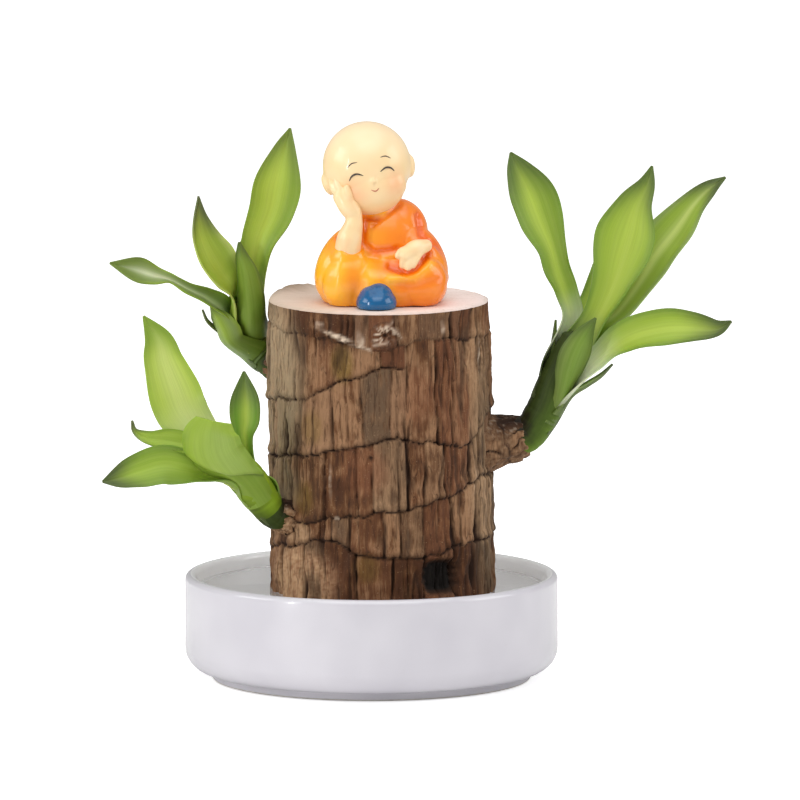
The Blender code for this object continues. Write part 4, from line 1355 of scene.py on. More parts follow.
@dataclass(frozen=True)
class Leaf:
    """One leaf of a shoot.

    Stations run from base to tip as (x, y, z, half width). Facing gives the way the upper face
    looks at the base, in the middle and at the tip. Fold is the half angle of the curved cross
    section in the lower and the upper part, wave is how far the margins ripple, and wrap is the
    half angle by which the sheath wraps the stem. Crease says where a blade bends over, and how
    much further along it does so at its edge.
    """

    sheath: float
    stations: tuple
    facing: tuple
    fold: tuple = (0.55, 0.35)
    wave: float = 0.5
    wrap: float = 1.45
    crease: tuple | None = None
    look: LeafLook = LeafLook()

    def past_crease(self, across: float, along: float) -> float:
        """Return how far past its crease a place of the blade is, in shares of its length."""
        if self.crease is None:
            return 1.0
        return along - self.crease[0] - self.crease[1] * (2.0 * across - 1.0)


@dataclass
class Shoot:
    """A leafy shoot: the line and radii of its stem past the stub, and the leaves that wrap it."""

    name: str
    collar: Collar
    path: tuple
    radii: tuple
    leaves: tuple[Leaf, ...]
    stem_look: tuple[Green, Green] = (Green.LEAF, Green.FRESH)
    shaded: float = 0.3
    # colour of the cup and of the painted shade under the stem's foot; lighter on the right shoot, where it is a
    # painted highlight
    foot: Green = Green.DARK
    cup_at: float = 0.0
    thickness: float = 0.42
    blade_columns: int = 20
    blade_rows: int = 64
    tip_half_width: float = 0.06
    sheath_length: float = 0.12
    sheath_seat: float = 0.98
    lead: float = 3.4
    peg: float = 3.5
    margin_waves: float = 2.0

    def stem_line(self) -> list[Vector]:
        """Return the stem's line, which leaves the stub straight before it bends."""
        end = Vector(self.collar.end)
        along = (end - Vector(self.collar.start)).normalized()
        return [end + along * GAP * 2.0, end + along * self.lead] + [Vector(point) for point in self.path]

    def stem_radius(self, share: float) -> float:
        """Return the stem's radius at a share of its line."""
        return spline([(radius, 0.0, 0.0) for radius in self.radii], share).x

    def build(self) -> list[bpy.types.Object]:
        """Build the stem and the leaves, each as one piece."""
        return [self.build_stem(), self.build_leaves()]

    def build_stem(self) -> bpy.types.Object:
        """Shape the stem, with the narrower peg that stands in the wood."""
        line = self.stem_line()
        end = Vector(self.collar.end)
        along = (end - Vector(self.collar.start)).normalized()
        peg_share = 0.12

        def centre(share: float) -> Vector:
            if share < peg_share:
                return (end - along * self.peg).lerp(line[0], share / peg_share)
            return spline(line, (share - peg_share) / (1.0 - peg_share))

        def radius(angle: float, share: float) -> float:
            if share in (0.0, 1.0):
                return 0.0
            if share < peg_share * 0.9:
                return self.collar.socket_radius - GAP
            upward = max(share - peg_share, 0.0) / (1.0 - peg_share)
            swell = 0.6 * (self.collar.radii[1] - self.radii[0]) * (1.0 - smooth(0.0, 0.3, upward))
            ring = 0.14 * hump((upward * 9.0) % 1.0 - 0.5, 0.12)
            rough = noise.noise(Vector((math.cos(angle) * 2.0, math.sin(angle) * 2.0, upward * 5.0))) * 0.25
            return (self.stem_radius(upward) + swell) * (1.0 - 0.8 * smooth(0.97, 1.0, share)) - ring + rough

        stem = tube_mesh(f"{self.name}_stem", centre, radius, 40, 90)
        low, high = self.stem_look
        colours = []
        for vertex, (_, share) in zip(stem.data.vertices, point_shares(stem)):
            spot = vertex.co / MM
            rise = smooth(line[0].z, line[-1].z, spot.z)
            colour = blend(low.value, high.value, rise + 0.3 * noise.noise(spot * 0.35))
            # Painted shade on the side of the stem that faces up and to the left, as strong as the shoot's shaded
            # share.
            dark = smooth(-0.5, 0.6, vertex.normal.dot(Vector((-0.8, -0.1, 0.6))))
            colour = blend(colour, Green.STEM.value, self.shaded * dark)
            # Painted light under the stem near its foot: shade where the foot colour is dark, a highlight on the
            # right shoot, whose foot colour is lighter.
            under = (1.0 - smooth(0.0, 0.35, rise)) * smooth(0.1, 0.9, -vertex.normal.z)
            colour = blend(colour, self.foot.value, 0.8 * under)
            if share < self.cup_at:
                colour = self.foot.value
            wood = 1.0 - smooth(1.5, 6.0, (spot - line[0]).dot(along) + 1.5 * noise.noise(spot * 0.5))
            colours.append(blend(colour, Green.WOODY.value, wood * smooth(-0.6, 0.4, vertex.normal.z)))
        point_colours(stem, "leaf_colour", colours)
        dress(stem, StemSkin().make())
        smooth_shading(stem, 60.0)
        settle(stem, Slot.LEAF.value, self.name)
        return stem

    def leaf_line(self, leaf: Leaf) -> tuple[list, list]:
        """Return a leaf's centre line and half widths, with the sheath round the stem first."""
        points, widths = [], []
        line = self.stem_line()
        for share in (leaf.sheath, leaf.sheath + self.sheath_length):
            radius = self.stem_radius(share)
            inward, _ = frame_along(direction(line, share), Vector(leaf.facing[0]))
            points.append(spline(line, share) - inward * radius * self.sheath_seat)
            widths.append((radius * leaf.wrap, 0.0, 0.0))
        for x, y, z, half_width in leaf.stations:
            points.append(Vector((x, y, z)))
            widths.append((half_width, 0.0, 0.0))
        return points, widths

    def build_leaf(self, number: int, leaf: Leaf) -> bpy.types.Object:
        """Shape one leaf as a curved, rippled blade with a real thickness."""
        points, widths = self.leaf_line(leaf)
        ways = [Vector(way).normalized() for way in leaf.facing]

        def place(across: float, along: float) -> Vector:
            centre = spline(points, along)
            way = ways[0].lerp(ways[1], along * 2.0) if along < 0.5 else ways[1].lerp(ways[2], along * 2.0 - 1.0)
            facing, sideways = frame_along(direction(points, along), way.normalized())
            half_width = max(spline(widths, along).x, self.tip_half_width)
            if along < 0.2:
                fold = leaf.wrap + (leaf.fold[0] - leaf.wrap) * along / 0.2
            else:
                fold = leaf.fold[0] + (leaf.fold[1] - leaf.fold[0]) * (along - 0.2) / 0.8
            side = 2.0 * across - 1.0
            turn, bend = fold * side, half_width / fold
            outward = facing * math.cos(turn) - sideways * math.sin(turn)
            spot = centre + sideways * bend * math.sin(turn) + facing * bend * (1.0 - math.cos(turn))
            free = math.sin(math.pi * along)
            phase = 2.0 * math.pi * (self.margin_waves * along + 0.25 * side + 0.37 * number)
            ripple = leaf.wave * side * side * math.sin(phase)
            ripple += 0.3 * leaf.wave * abs(side) ** 3 * math.sin(2.7 * phase + number)
            channel = -0.22 * hump(side, 0.16) * smooth(0.15, 0.4, along)
            veins = 0.035 * math.sin(side * 34.0) * free
            past = leaf.past_crease(across, along)
            bulge = -1.7 * smooth(-0.015, 0.02, past) * (1.0 - smooth(0.02, 0.4, past))
            return spot + outward * (ripple * free + channel + veins + bulge)

        blade = sheet_mesh(f"{self.name}_leaf_{number}", self.blade_columns, self.blade_rows, place)
        layer = blade.data.uv_layers.active.data
        colours = [leaf.look.blade.value] * len(blade.data.vertices)
        for loop in blade.data.loops:
            across, along = layer[loop.index].uv
            colour = leaf.look.colour(across, along)
            past = leaf.past_crease(across, along)
            # Below the crease the blade is a darker green; along the crease a dark line is painted shadow cast by
            # the blade bending over it.
            colour = blend(Green.GRASS.value, colour, smooth(-0.02, 0.01, past))
            colours[loop.vertex_index] = blend(colour, Green.SHADE.value, 0.8 * hump(past + 0.015, 0.018))
        point_colours(blade, "leaf_colour", colours)
        apply_modifier(blade, "SOLIDIFY", thickness=self.thickness * MM, offset=0.0, material_offset=1)
        return blade

    def build_leaves(self) -> bpy.types.Object:
        """Build every leaf and join them as one piece."""
        top, under = LeafSkin().make(), LeafSkin("leaf_underside", dull=0.16, roughness=0.55).make()
        blades = []
        for number, leaf in enumerate(self.leaves):
            blade = self.build_leaf(number, leaf)
            indices = [face.material_index for face in blade.data.polygons]
            dress(blade, top, under)
            blade.data.polygons.foreach_set("material_index", indices)
            blades.append(blade)
        activate(*blades)
        bpy.ops.object.join()
        leaves = bpy.context.active_object
        leaves.name = leaves.data.name = f"{self.name}_leaves"
        smooth_shading(leaves, 50.0)
        settle(leaves, Slot.LEAF.value, self.name)
        return leaves


SHOOTS = (
    Shoot(
        name="shoot_upper_left",
        collar=Collar(
            start=(-18.0, 14.3, 85.0), end=(-27.4, 20.9, 89.5), radii=(8.5, 5.4), socket_radius=3.4,
        ),
        path=(
            (-33.2, 23.6, 94.0), (-35.8, 22.3, 98.0), (-38.0, 19.4, 103.2), (-38.8, 16.0, 109.0),
        ),
        radii=(3.6, 4.2, 4.8, 4.9, 4.5, 2.8),
        stem_look=(Green.SHADE, Green.FRESH),
        leaves=(
            Leaf(
                sheath=0.68,
                stations=(
                    (-35.5, 14.5, 111.0, 4.4), (-34.5, 13.2, 119.5, 3.9), (-33.0, 13.3, 128.0, 5.4),
                    (-29.5, 15.0, 136.5, 6.9), (-27.8, 16.7, 144.5, 7.1), (-25.7, 20.0, 154.0, 3.6),
                    (-24.0, 22.0, 160.5, 0.3),
                ),
                facing=((-0.5, -1.0, 0.1), (-0.1, -1.0, 0.25), (0.1, -1.0, 0.3)),
                fold=(0.7, 0.3),
                look=LeafLook(
                    Green.LIME, Green.FRESH, Green.GRASS, Green.OLIVE, Green.CREAM,
                    stripe_at=0.45, base_reach=0.42, right_margin=Green.GRASS,
                ),
            ),
            Leaf(
                sheath=0.64,
                stations=(
                    (-41.0, 11.5, 113.0, 5.4), (-44.2, 9.0, 118.5, 7.2), (-47.4, 8.0, 123.5, 7.6),
                    (-49.8, 8.0, 129.0, 6.0), (-51.0, 8.2, 135.5, 3.2), (-51.0, 9.0, 142.0, 0.3),
                ),
                facing=((0.8, -0.1, 0.3), (0.55, -0.75, 0.35), (0.7, -0.7, 0.0)),
                fold=(0.9, 0.8), wave=0.3,
                look=LeafLook(
                    Green.LIME, Green.FRESH, Green.PALE, Green.TIP, Green.LIME,
                    base_reach=0.3, tip_from=0.82,
                ),
            ),
            Leaf(
                sheath=0.52,
                stations=(
                    (-35.2, 10.5, 104.5, 5.0), (-35.7, 8.2, 111.0, 4.8), (-36.7, 7.4, 118.5, 3.8),
                    (-38.2, 7.5, 124.0, 2.2), (-39.0, 8.0, 128.5, 0.3),
                ),
                facing=((-0.1, 1.0, 0.1), (0.1, 1.0, 0.1), (0.1, 1.0, 0.2)),
                fold=(1.2, 0.8), wave=0.1,
                look=LeafLook(
                    Green.GRASS, Green.LEAF, Green.SHADE, Green.SHADE, Green.GRASS,
                    stripe_at=0.65, base_reach=0.2,
                ),
            ),
            Leaf(
                sheath=0.48,
                stations=(
                    (-43.4, 16.0, 105.8, 6.0), (-48.0, 11.5, 110.8, 3.7), (-54.0, 7.0, 114.5, 2.2),
                    (-59.5, 3.0, 118.0, 2.1), (-64.5, -0.5, 119.8, 3.5), (-69.5, -3.0, 121.8, 3.8),
                    (-77.0, -5.0, 124.0, 0.3),
                ),
                facing=((0.8, -0.1, 0.5), (-0.1, -0.75, 0.7), (-0.1, -0.95, 0.35)),
                fold=(0.9, 0.3),
                look=LeafLook(
                    Green.WHITE, Green.GREYED, Green.FRESH, Green.OLIVE, Green.FRESH,
                    stripe_width=0.14, base_reach=0.2,
                ),
            ),
            Leaf(
                sheath=0.28,
                stations=(
                    (-40.6, 22.6, 95.8, 3.0), (-45.0, 18.2, 100.0, 1.6), (-48.4, 14.2, 103.8, 1.0),
                    (-49.8, 12.8, 107.6, 0.3),
                ),
                facing=((0.75, -0.15, 0.65), (0.75, -0.2, 0.6), (0.8, -0.3, 0.4)),
                fold=(0.9, 0.9), wave=0.0, wrap=0.9,
                look=LeafLook(
                    Green.GREYED, Green.OLIVE, Green.DARK, Green.TIP, Green.OLIVE,
                    tip_from=0.7, foot=Green.SHADE,
                ),
            ),
            Leaf(
                sheath=0.3,
                stations=(
                    (-41.4, 14.6, 97.2, 5.0), (-43.6, 12.4, 101.8, 5.0), (-45.4, 11.4, 105.6, 3.4),
                    (-47.4, 11.0, 108.8, 0.3),
                ),
                facing=((0.5, 0.8, 0.2), (0.5, 0.8, 0.3), (0.5, 0.8, 0.4)),
                fold=(1.0, 0.7), wave=0.2,
                look=LeafLook(
                    Green.FRESH, Green.GREYED, Green.FRESH, Green.OLIVE, Green.LEAF,
                    base_reach=0.6, foot=Green.SHADE,
                ),
            ),
            Leaf(
                sheath=0.68,
                stations=(
                    (-37.5, 18.5, 111.0, 4.2), (-35.8, 24.0, 119.5, 4.8), (-32.5, 31.0, 129.5, 4.3),
                    (-29.0, 37.0, 140.0, 0.3),
                ),
                facing=((-0.2, -1.0, 0.3), (-0.2, -0.8, 0.6), (-0.2, -0.8, 0.6)),
                fold=(0.8, 0.35),
                look=LeafLook(Green.LIME, Green.FRESH, Green.LEAF, Green.OLIVE, Green.PALE),
            ),
        ),
    ),
    Shoot(
        name="shoot_lower_left",
        collar=Collar(
            start=(-15.9, -11.0, 47.2), end=(-26.3, -17.5, 51.0), radii=(8.0, 5.2), socket_radius=3.4,
            pale=0.8,
        ),
        path=(
            (-32.3, -21.6, 56.4), (-35.8, -23.8, 61.7), (-39.5, -26.0, 66.7), (-42.5, -27.5, 70.8),
        ),
        radii=(3.6, 4.4, 5.2, 5.4, 4.9, 2.8),
        stem_look=(Green.GRASS, Green.FRESH),
        shaded=0.1,
        cup_at=0.36,
        leaves=(
            Leaf(
                sheath=0.7,
                stations=(
                    (-46.5, -26.3, 71.5, 5.2), (-51.0, -25.0, 76.0, 6.6), (-55.8, -23.2, 82.5, 8.0),
                    (-58.3, -21.7, 88.5, 7.9), (-61.2, -19.4, 96.5, 6.1), (-62.8, -18.0, 103.0, 4.3),
                    (-67.0, -17.0, 110.0, 0.3),
                ),
                facing=((0.5, -1.0, 0.2), (0.15, -1.0, 0.25), (0.1, -1.0, 0.3)),
                fold=(0.6, 0.25),
                look=LeafLook(
                    Green.PALE, Green.LIME, Green.FRESH, Green.GRASS, Green.CREAM,
                    stripe_at=0.55, base_reach=0.6,
                ),
            ),
            Leaf(
                sheath=0.6,
                stations=(
                    (-46.5, -29.3, 70.0, 4.0), (-52.5, -29.0, 73.0, 3.8), (-59.5, -29.0, 74.6, 3.6),
                    (-65.0, -28.8, 75.3, 2.3), (-69.3, -28.0, 77.2, 1.0), (-70.3, -28.0, 80.5, 0.3),
                ),
                facing=((0.8, -0.2, 0.6), (0.0, -0.85, 0.5), (0.2, -0.85, 0.5)),
                fold=(0.7, 0.5), wave=0.3, wrap=0.5,
                look=LeafLook(Green.FRESH, Green.FRESH, Green.GRASS, Green.TIP, Green.GRASS, tip_from=0.9),
            ),
            Leaf(
                sheath=0.46,
                stations=(
                    (-41.0, -29.3, 63.2, 2.6), (-47.0, -30.8, 64.8, 3.6), (-54.0, -32.2, 66.8, 5.4),
                    (-61.0, -33.3, 68.0, 6.2), (-68.0, -34.7, 66.4, 5.5), (-73.5, -35.6, 64.8, 3.8),
                    (-79.0, -36.0, 63.5, 0.3),
                ),
                facing=((0.7, 0.2, 0.7), (0.0, -0.85, 0.5), (0.0, -0.9, 0.4)),
                fold=(0.6, 0.35), wave=0.7, wrap=0.45,
                look=LeafLook(Green.FRESH, Green.GRASS, Green.LEAF, Green.DARK, Green.GRASS, tip_from=0.86),
            ),
            Leaf(
                sheath=0.28,
                stations=(
                    (-34.0, -20.2, 61.5, 3.6), (-36.3, -21.0, 69.0, 2.7), (-37.3, -21.7, 75.0, 3.2),
                    (-36.9, -21.7, 80.5, 4.8), (-37.0, -21.2, 86.5, 4.3), (-37.5, -20.0, 94.0, 0.3),
                ),
                facing=((-0.9, -0.7, 0.1), (-0.3, -1.0, 0.1), (-0.25, -1.0, 0.2)),
                fold=(1.0, 0.45), wave=0.2, wrap=0.6,
                look=LeafLook(
                    Green.LIME, Green.VIVID, Green.LEAF, Green.SHADE, Green.GRASS,
                    stripe_width=0.18, tip_from=0.84, foot=Green.LEAF,
                ),
            ),
            Leaf(
                sheath=0.42,
                stations=(
                    (-37.6, -31.0, 62.2, 6.4), (-42.4, -35.0, 66.8, 8.6), (-46.2, -39.0, 72.6, 8.9),
                    (-47.0, -42.0, 78.0, 8.2), (-46.2, -43.4, 82.6, 5.4),
                ),
                facing=((-0.3, 0.7, 0.7), (0.1, 0.75, 0.65), (0.2, 0.8, 0.6)),
                fold=(0.8, 0.3), wave=0.8, wrap=1.0, crease=(0.49, 0.18),
                look=LeafLook(
                    Green.SOFT, Green.FRESH, Green.GRASS, Green.FRESH, Green.GRASS,
                    stripe_at=0.3, stripe_width=0.3, tip_from=0.95, base_reach=0.2,
                ),
            ),
            Leaf(
                sheath=0.06,
                stations=(
                    (-32.6, -23.6, 51.6, 3.7), (-34.4, -25.4, 55.0, 1.4),
                ),
                facing=((0.3, 0.7, 0.6), (0.3, 0.7, 0.6), (0.3, 0.7, 0.6)),
                fold=(0.9, 0.9), wave=0.0, wrap=0.9,
                look=LeafLook(Green.DARK, Green.DARK, Green.SHADE, Green.GREYED, Green.DARK, tip_from=0.9),
            ),
            Leaf(
                sheath=0.68,
                stations=(
                    (-45.5, -24.0, 71.5, 4.4), (-51.0, -17.0, 77.5, 4.8), (-54.0, -10.0, 85.0, 4.4),
                    (-57.0, -4.0, 92.0, 0.3),
                ),
                facing=((0.4, -0.8, 0.5), (0.3, -0.7, 0.7), (0.2, -0.7, 0.7)),
                fold=(0.8, 0.35),
                look=LeafLook(Green.LIME, Green.FRESH, Green.LEAF, Green.OLIVE, Green.PALE),
            ),
        ),
    ),
    Shoot(
        name="shoot_right",
        collar=Collar(
            start=(25.0, -1.0, 68.2), end=(43.0, -1.0, 72.2), radii=(12.6, 6.2), socket_radius=3.9,
            pale=0.45, knob=2.0,
        ),
        path=(
            (49.5, -0.9, 77.3), (52.1, -0.6, 82.4), (54.3, -0.2, 88.6), (57.2, 0.2, 95.5),
            (60.0, 0.8, 103.0),
        ),
        radii=(4.4, 4.9, 5.3, 5.3, 5.0, 4.4, 3.0),
        stem_look=(Green.SHADE, Green.SHADE),
        shaded=0.85,
        foot=Green.LEAF,
        leaves=(
            Leaf(
                sheath=0.66,
                stations=(
                    (58.6, 4.6, 106.0, 3.9), (56.9, 5.6, 114.0, 4.0), (54.8, 6.4, 120.5, 4.1),
                    (53.0, 7.4, 127.0, 4.7), (49.7, 9.0, 135.0, 7.1), (46.9, 10.2, 142.5, 7.1),
                    (43.4, 11.6, 149.5, 4.0), (41.0, 13.0, 154.5, 0.3),
                ),
                facing=((0.5, -0.9, 0.1), (0.3, -1.0, 0.1), (0.2, -1.0, 0.2)),
                fold=(0.8, 0.3), wave=0.7,
                look=LeafLook(
                    Green.LIME, Green.GRASS, Green.LEAF, Green.SHADE, Green.WHITE,
                    stripe_at=0.46, stripe_width=0.17, base_reach=0.36, tip_from=0.84, foot=Green.DARK,
                ),
            ),
            Leaf(
                sheath=0.72,
                stations=(
                    (65.0, 2.2, 105.0, 4.2), (68.5, 2.6, 111.5, 4.9), (71.2, 3.4, 118.0, 6.4),
                    (73.4, 4.7, 125.5, 8.8), (75.3, 6.0, 132.0, 9.0), (77.8, 7.5, 139.5, 5.6),
                    (81.0, 8.3, 145.5, 2.8), (82.7, 9.0, 151.0, 0.3),
                ),
                facing=((-0.3, -1.0, 0.3), (-0.1, -1.0, 0.2), (-0.1, -1.0, 0.1)),
                fold=(0.8, 0.3),
                look=LeafLook(
                    Green.LIME, Green.FRESH, Green.LEAF, Green.SHADE, Green.GREYED,
                    stripe_at=0.55, stripe_width=0.24, tip_from=0.82,
                ),
            ),
            Leaf(
                sheath=0.64,
                stations=(
                    (66.8, 4.6, 102.8, 4.4), (73.0, 6.5, 108.3, 4.8), (79.2, 9.3, 116.6, 6.2),
                    (84.0, 12.2, 124.0, 7.6), (89.8, 15.3, 131.0, 7.2), (95.0, 17.5, 138.1, 4.6),
                    (99.7, 19.3, 142.8, 2.8), (104.5, 21.0, 146.0, 0.3),
                ),
                facing=((-0.6, -0.7, 0.5), (-0.35, -0.85, 0.4), (-0.4, -0.8, 0.5)),
                fold=(0.8, 0.4),
                look=LeafLook(
                    Green.PALE, Green.FRESH, Green.GREYED, Green.DARK, Green.FRESH,
                    stripe_width=0.1, tip_from=0.86,
                ),
            ),
            Leaf(
                sheath=0.42,
                stations=(
                    (62.3, -3.7, 90.0, 4.8), (67.8, -4.2, 95.4, 4.8), (72.8, -5.5, 99.9, 5.6),
                    (78.8, -6.8, 103.0, 6.2), (87.0, -8.0, 105.0, 6.2), (94.5, -8.7, 105.2, 5.0),
                    (101.5, -9.0, 105.1, 2.9), (106.0, -9.0, 107.3, 0.3),
                ),
                facing=((-0.75, -0.3, 0.7), (-0.1, -0.8, 0.6), (0.0, -0.85, 0.5)),
                fold=(1.0, 0.35),
                look=LeafLook(
                    Green.LIME, Green.FRESH, Green.LEAF, Green.DARK, Green.WHITE,
                    stripe_width=0.2, base_reach=0.5, tip_from=0.82, foot=Green.SHADE,
                ),
            ),
            Leaf(
                sheath=0.34,
                stations=(
                    (57.0, -6.8, 86.5, 3.2), (58.6, -8.2, 92.0, 4.7), (60.4, -9.2, 97.5, 5.1),
                    (62.8, -9.4, 103.0, 3.4), (66.0, -8.5, 108.2, 0.3),
                ),
                facing=((-0.75, 0.8, 0.1), (-0.2, 1.0, 0.2), (-0.2, 1.0, 0.3)),
                fold=(1.1, 0.6), wave=0.1, wrap=0.4,
                look=LeafLook(
                    Green.LEAF, Green.OLIVE, Green.SHADE, Green.SHADE, Green.OLIVE,
                    stripe_width=0.3, base_reach=0.4, foot=Green.SHADE,
                ),
            ),
            Leaf(
                sheath=0.26,
                stations=(
                    (58.8, -2.8, 83.6, 2.6), (63.4, -3.2, 87.0, 2.3), (67.6, -3.6, 90.0, 1.8),
                    (71.0, -3.4, 93.8, 0.3),
                ),
                facing=((-0.75, 0.1, 0.7), (-0.6, 0.0, 0.8), (-0.6, 0.0, 0.8)),
                fold=(1.2, 0.9), wave=0.0, wrap=0.5,
                look=LeafLook(
                    Green.SHADE, Green.SHADE, Green.GREYED, Green.DARK, Green.DARK, base_reach=0.5,
                ),
            ),
            Leaf(
                sheath=0.48,
                stations=(
                    (52.2, 1.2, 94.0, 3.0), (53.4, 2.6, 100.0, 2.0), (54.4, 3.0, 106.0, 0.3),
                ),
                facing=((1.0, -0.2, -0.1), (1.0, -0.2, -0.1), (1.0, -0.2, 0.0)),
                fold=(1.1, 0.9), wave=0.0, wrap=0.8,
                look=LeafLook(
                    Green.SHADE, Green.DARK, Green.DARK, Green.SHADE, Green.STEM, base_reach=0.6,
                ),
            ),
            Leaf(
                sheath=0.66,
                stations=(
                    (62.5, 5.5, 105.0, 4.2), (66.5, 12.0, 112.0, 4.6), (70.5, 18.5, 121.0, 4.8),
                    (74.0, 24.5, 130.0, 4.0), (77.0, 29.0, 138.0, 0.3),
                ),
                facing=((-0.3, -0.8, 0.4), (-0.3, -0.7, 0.6), (-0.3, -0.7, 0.6)),
                fold=(0.8, 0.35),
                look=LeafLook(Green.LIME, Green.FRESH, Green.LEAF, Green.OLIVE, Green.PALE),
            ),
        ),
    ),
)


@dataclass(frozen=True)
class Mass:
    """A rounded mass of the ornament: its centre from the base, its radii and its tilt."""

    centre: tuple
    radii: tuple
    tilt: float = 0.0
    nod: float = 0.0


def limb(points: tuple, radii: tuple, count: int) -> tuple[Mass, ...]:
    """Return round masses close together along a curve, with a radius for each of its points."""
    sizes = [(radius, 0.0, 0.0) for radius in radii]
    shares = [index / (count - 1) for index in range(count)]
    return tuple(Mass(tuple(spline(points, share)), (spline(sizes, share).x,) * 3) for share in shares)


@dataclass(frozen=True)
class Fold:
    """A fold or crease of the robe, along a line of (x, z) seen from the front."""

    line: tuple
    height: float
    width: float


@dataclass
class Ornament:
    """The small painted resin ornament: a seated child in a robe, chin on one hand."""

    x: float = 4.4
    y: float = -6.5
    foot: float = TRUNK_TOP + GAP
    voxel: float = 0.42
    head_centre: tuple = (-5.6, -0.5, 39.6)
    head_tilt: float = -12.0
    face_turn: float = 6.0
    robe: tuple[Mass, ...] = (
        Mass((-1.2, -1.0, 4.6), (19.2, 14.5, 11.0)),
        Mass((-1.4, -1.0, 7.0), (19.9, 14.2, 7.4)),
        Mass((-0.5, 1.5, 16.0), (12.6, 11.0, 14.5)),
        Mass((10.4, -2.0, 12.2), (6.9, 8.5, 11.6), -24.0),
        Mass((-13.0, -2.5, 11.6), (7.0, 8.8, 11.8), 27.0),
        Mass((4.6, 1.5, 21.8), (7.2, 7.8, 8.6), -32.0),
        Mass((-5.0, 1.5, 21.4), (7.0, 7.8, 8.0), 28.0),
        Mass((9.6, -8.4, 6.6), (8.4, 6.8, 8.4), -8.0),
        Mass((-11.4, -8.0, 6.8), (7.2, 7.0, 9.4), 10.0),
        Mass((-11.6, -8.4, 13.4), (5.0, 4.6, 5.0), 10.0),
    )
    folds: tuple[Fold, ...] = (
        Fold(((-14.6, 20.2), (-12.3, 17.8), (-11.1, 16.6), (-8.4, 16.8)), -0.9, 0.9),
        Fold(((-12.3, 16.2), (-13.8, 9.9), (-14.6, 1.0)), 0.45, 1.6),
        Fold(((-8.6, 15.4), (-9.6, 9.0), (-9.2, 3.0)), -0.22, 1.6),
        Fold(((-7.6, 15.4), (-5.2, 10.7), (-4.4, 6.5)), 0.5, 1.8),
        Fold(((-6.9, 25.0), (-6.8, 18.0), (-3.7, 15.6), (3.0, 16.2)), -0.7, 1.0),
        Fold(((-6.4, 25.6), (-2.1, 24.4), (-3.9, 23.2)), -0.45, 0.6),
        Fold(((-6.8, 25.9), (-5.2, 26.7), (-0.9, 26.7), (3.6, 31.0)), 0.7, 0.7),
        Fold(((-5.6, 24.8), (-1.0, 25.3), (4.2, 29.0)), -0.4, 0.6),
        Fold(((9.3, 25.7), (10.2, 20.6), (12.6, 18.4), (15.1, 17.4), (17.5, 14.6)), -0.8, 0.9),
        Fold(((1.0, 11.9), (5.7, 9.9), (8.8, 11.1), (12.2, 15.4)), -1.0, 1.0),
        Fold(((1.0, 8.3), (8.1, 8.6), (12.8, 12.3)), 0.7, 1.1),
        Fold(((-1.0, 13.8), (1.8, 14.2), (3.6, 15.2)), 0.4, 0.9),
        Fold(((-17.0, 3.0), (-19.0, 8.0), (-18.0, 13.0)), 0.4, 2.0),
        Fold(((4.0, 6.0), (9.5, 6.4), (15.0, 8.0)), -0.3, 1.2),
    )
    arm: tuple[Mass, ...] = (
        *limb(
            ((-11.4, -8.6, 15.6), (-10.9, -9.4, 19.4), (-9.7, -9.6, 23.4), (-9.4, -9.6, 26.6)),
            (3.9, 3.7, 2.8, 2.3), 16,
        ),
        *limb(((-9.4, -9.6, 26.4), (-10.9, -9.2, 29.0), (-13.0, -8.2, 31.8)), (2.3, 3.1, 2.7), 12),
        *limb(((-13.2, -8.4, 31.4), (-15.2, -6.8, 34.2), (-16.2, -5.4, 36.2)), (1.5, 1.4, 1.0), 10),
        *limb(((-12.2, -9.4, 31.4), (-13.6, -8.6, 34.4), (-14.6, -7.6, 36.6)), (1.4, 1.3, 1.0), 10),
        *limb(((-10.6, -10.4, 30.6), (-11.2, -10.6, 33.0), (-11.6, -10.4, 34.8)), (1.4, 1.3, 1.0), 10),
    )
    lap_hand: tuple[Mass, ...] = (
        *limb(((11.6, -10.4, 17.6), (8.6, -11.8, 16.8), (5.8, -12.6, 15.2)), (1.9, 2.7, 2.3), 12),
        *limb(((6.6, -12.6, 15.6), (5.2, -13.0, 13.8), (4.8, -13.0, 12.2)), (1.4, 1.3, 1.1), 8),
        *limb(((8.0, -12.8, 15.2), (6.8, -13.4, 13.2), (6.4, -13.4, 11.6)), (1.4, 1.3, 1.1), 8),
        *limb(((9.4, -12.6, 15.6), (8.4, -13.4, 13.6), (7.9, -13.4, 12.2)), (1.4, 1.2, 1.0), 8),
        *limb(((7.0, -12.0, 16.8), (4.6, -12.8, 16.2), (3.4, -13.2, 15.0)), (1.4, 1.3, 1.0), 8),
    )
    shoe: tuple[Mass, ...] = (
        Mass((-2.9, -14.6, 1.4), (6.0, 6.8, 4.6)),
        Mass((-2.4, -13.6, 3.0), (4.6, 6.0, 4.3), -8.0),
        Mass((-3.4, -14.0, 2.6), (4.8, 6.0, 4.0), 6.0),
    )
    head: tuple[Mass, ...] = (
        Mass((0.0, 0.6, 0.6), (13.0, 12.6, 12.9)),
        Mass((0.0, -2.4, -5.4), (10.0, 9.6, 8.6)),
        Mass((5.4, -5.4, -5.8), (4.6, 4.6, 4.6)),
        Mass((-5.4, -5.4, -5.8), (4.6, 4.6, 4.6)),
        Mass((0.6, -4.6, -9.0), (4.6, 4.4, 3.9)),
        Mass((12.6, 0.8, -2.6), (1.4, 2.4, 3.4), 10.0),
        Mass((-12.6, 0.8, -2.6), (1.4, 2.4, 3.4), -10.0),
        Mass((0.0, -12.3, -2.9), (0.9, 0.9, 0.8)),
        Mass((2.6, 2.0, -13.0), (5.2, 5.0, 5.0)),
    )

    def base(self) -> Vector:
        """Return the middle of the ornament's base."""
        return Vector((self.x, self.y, self.foot))

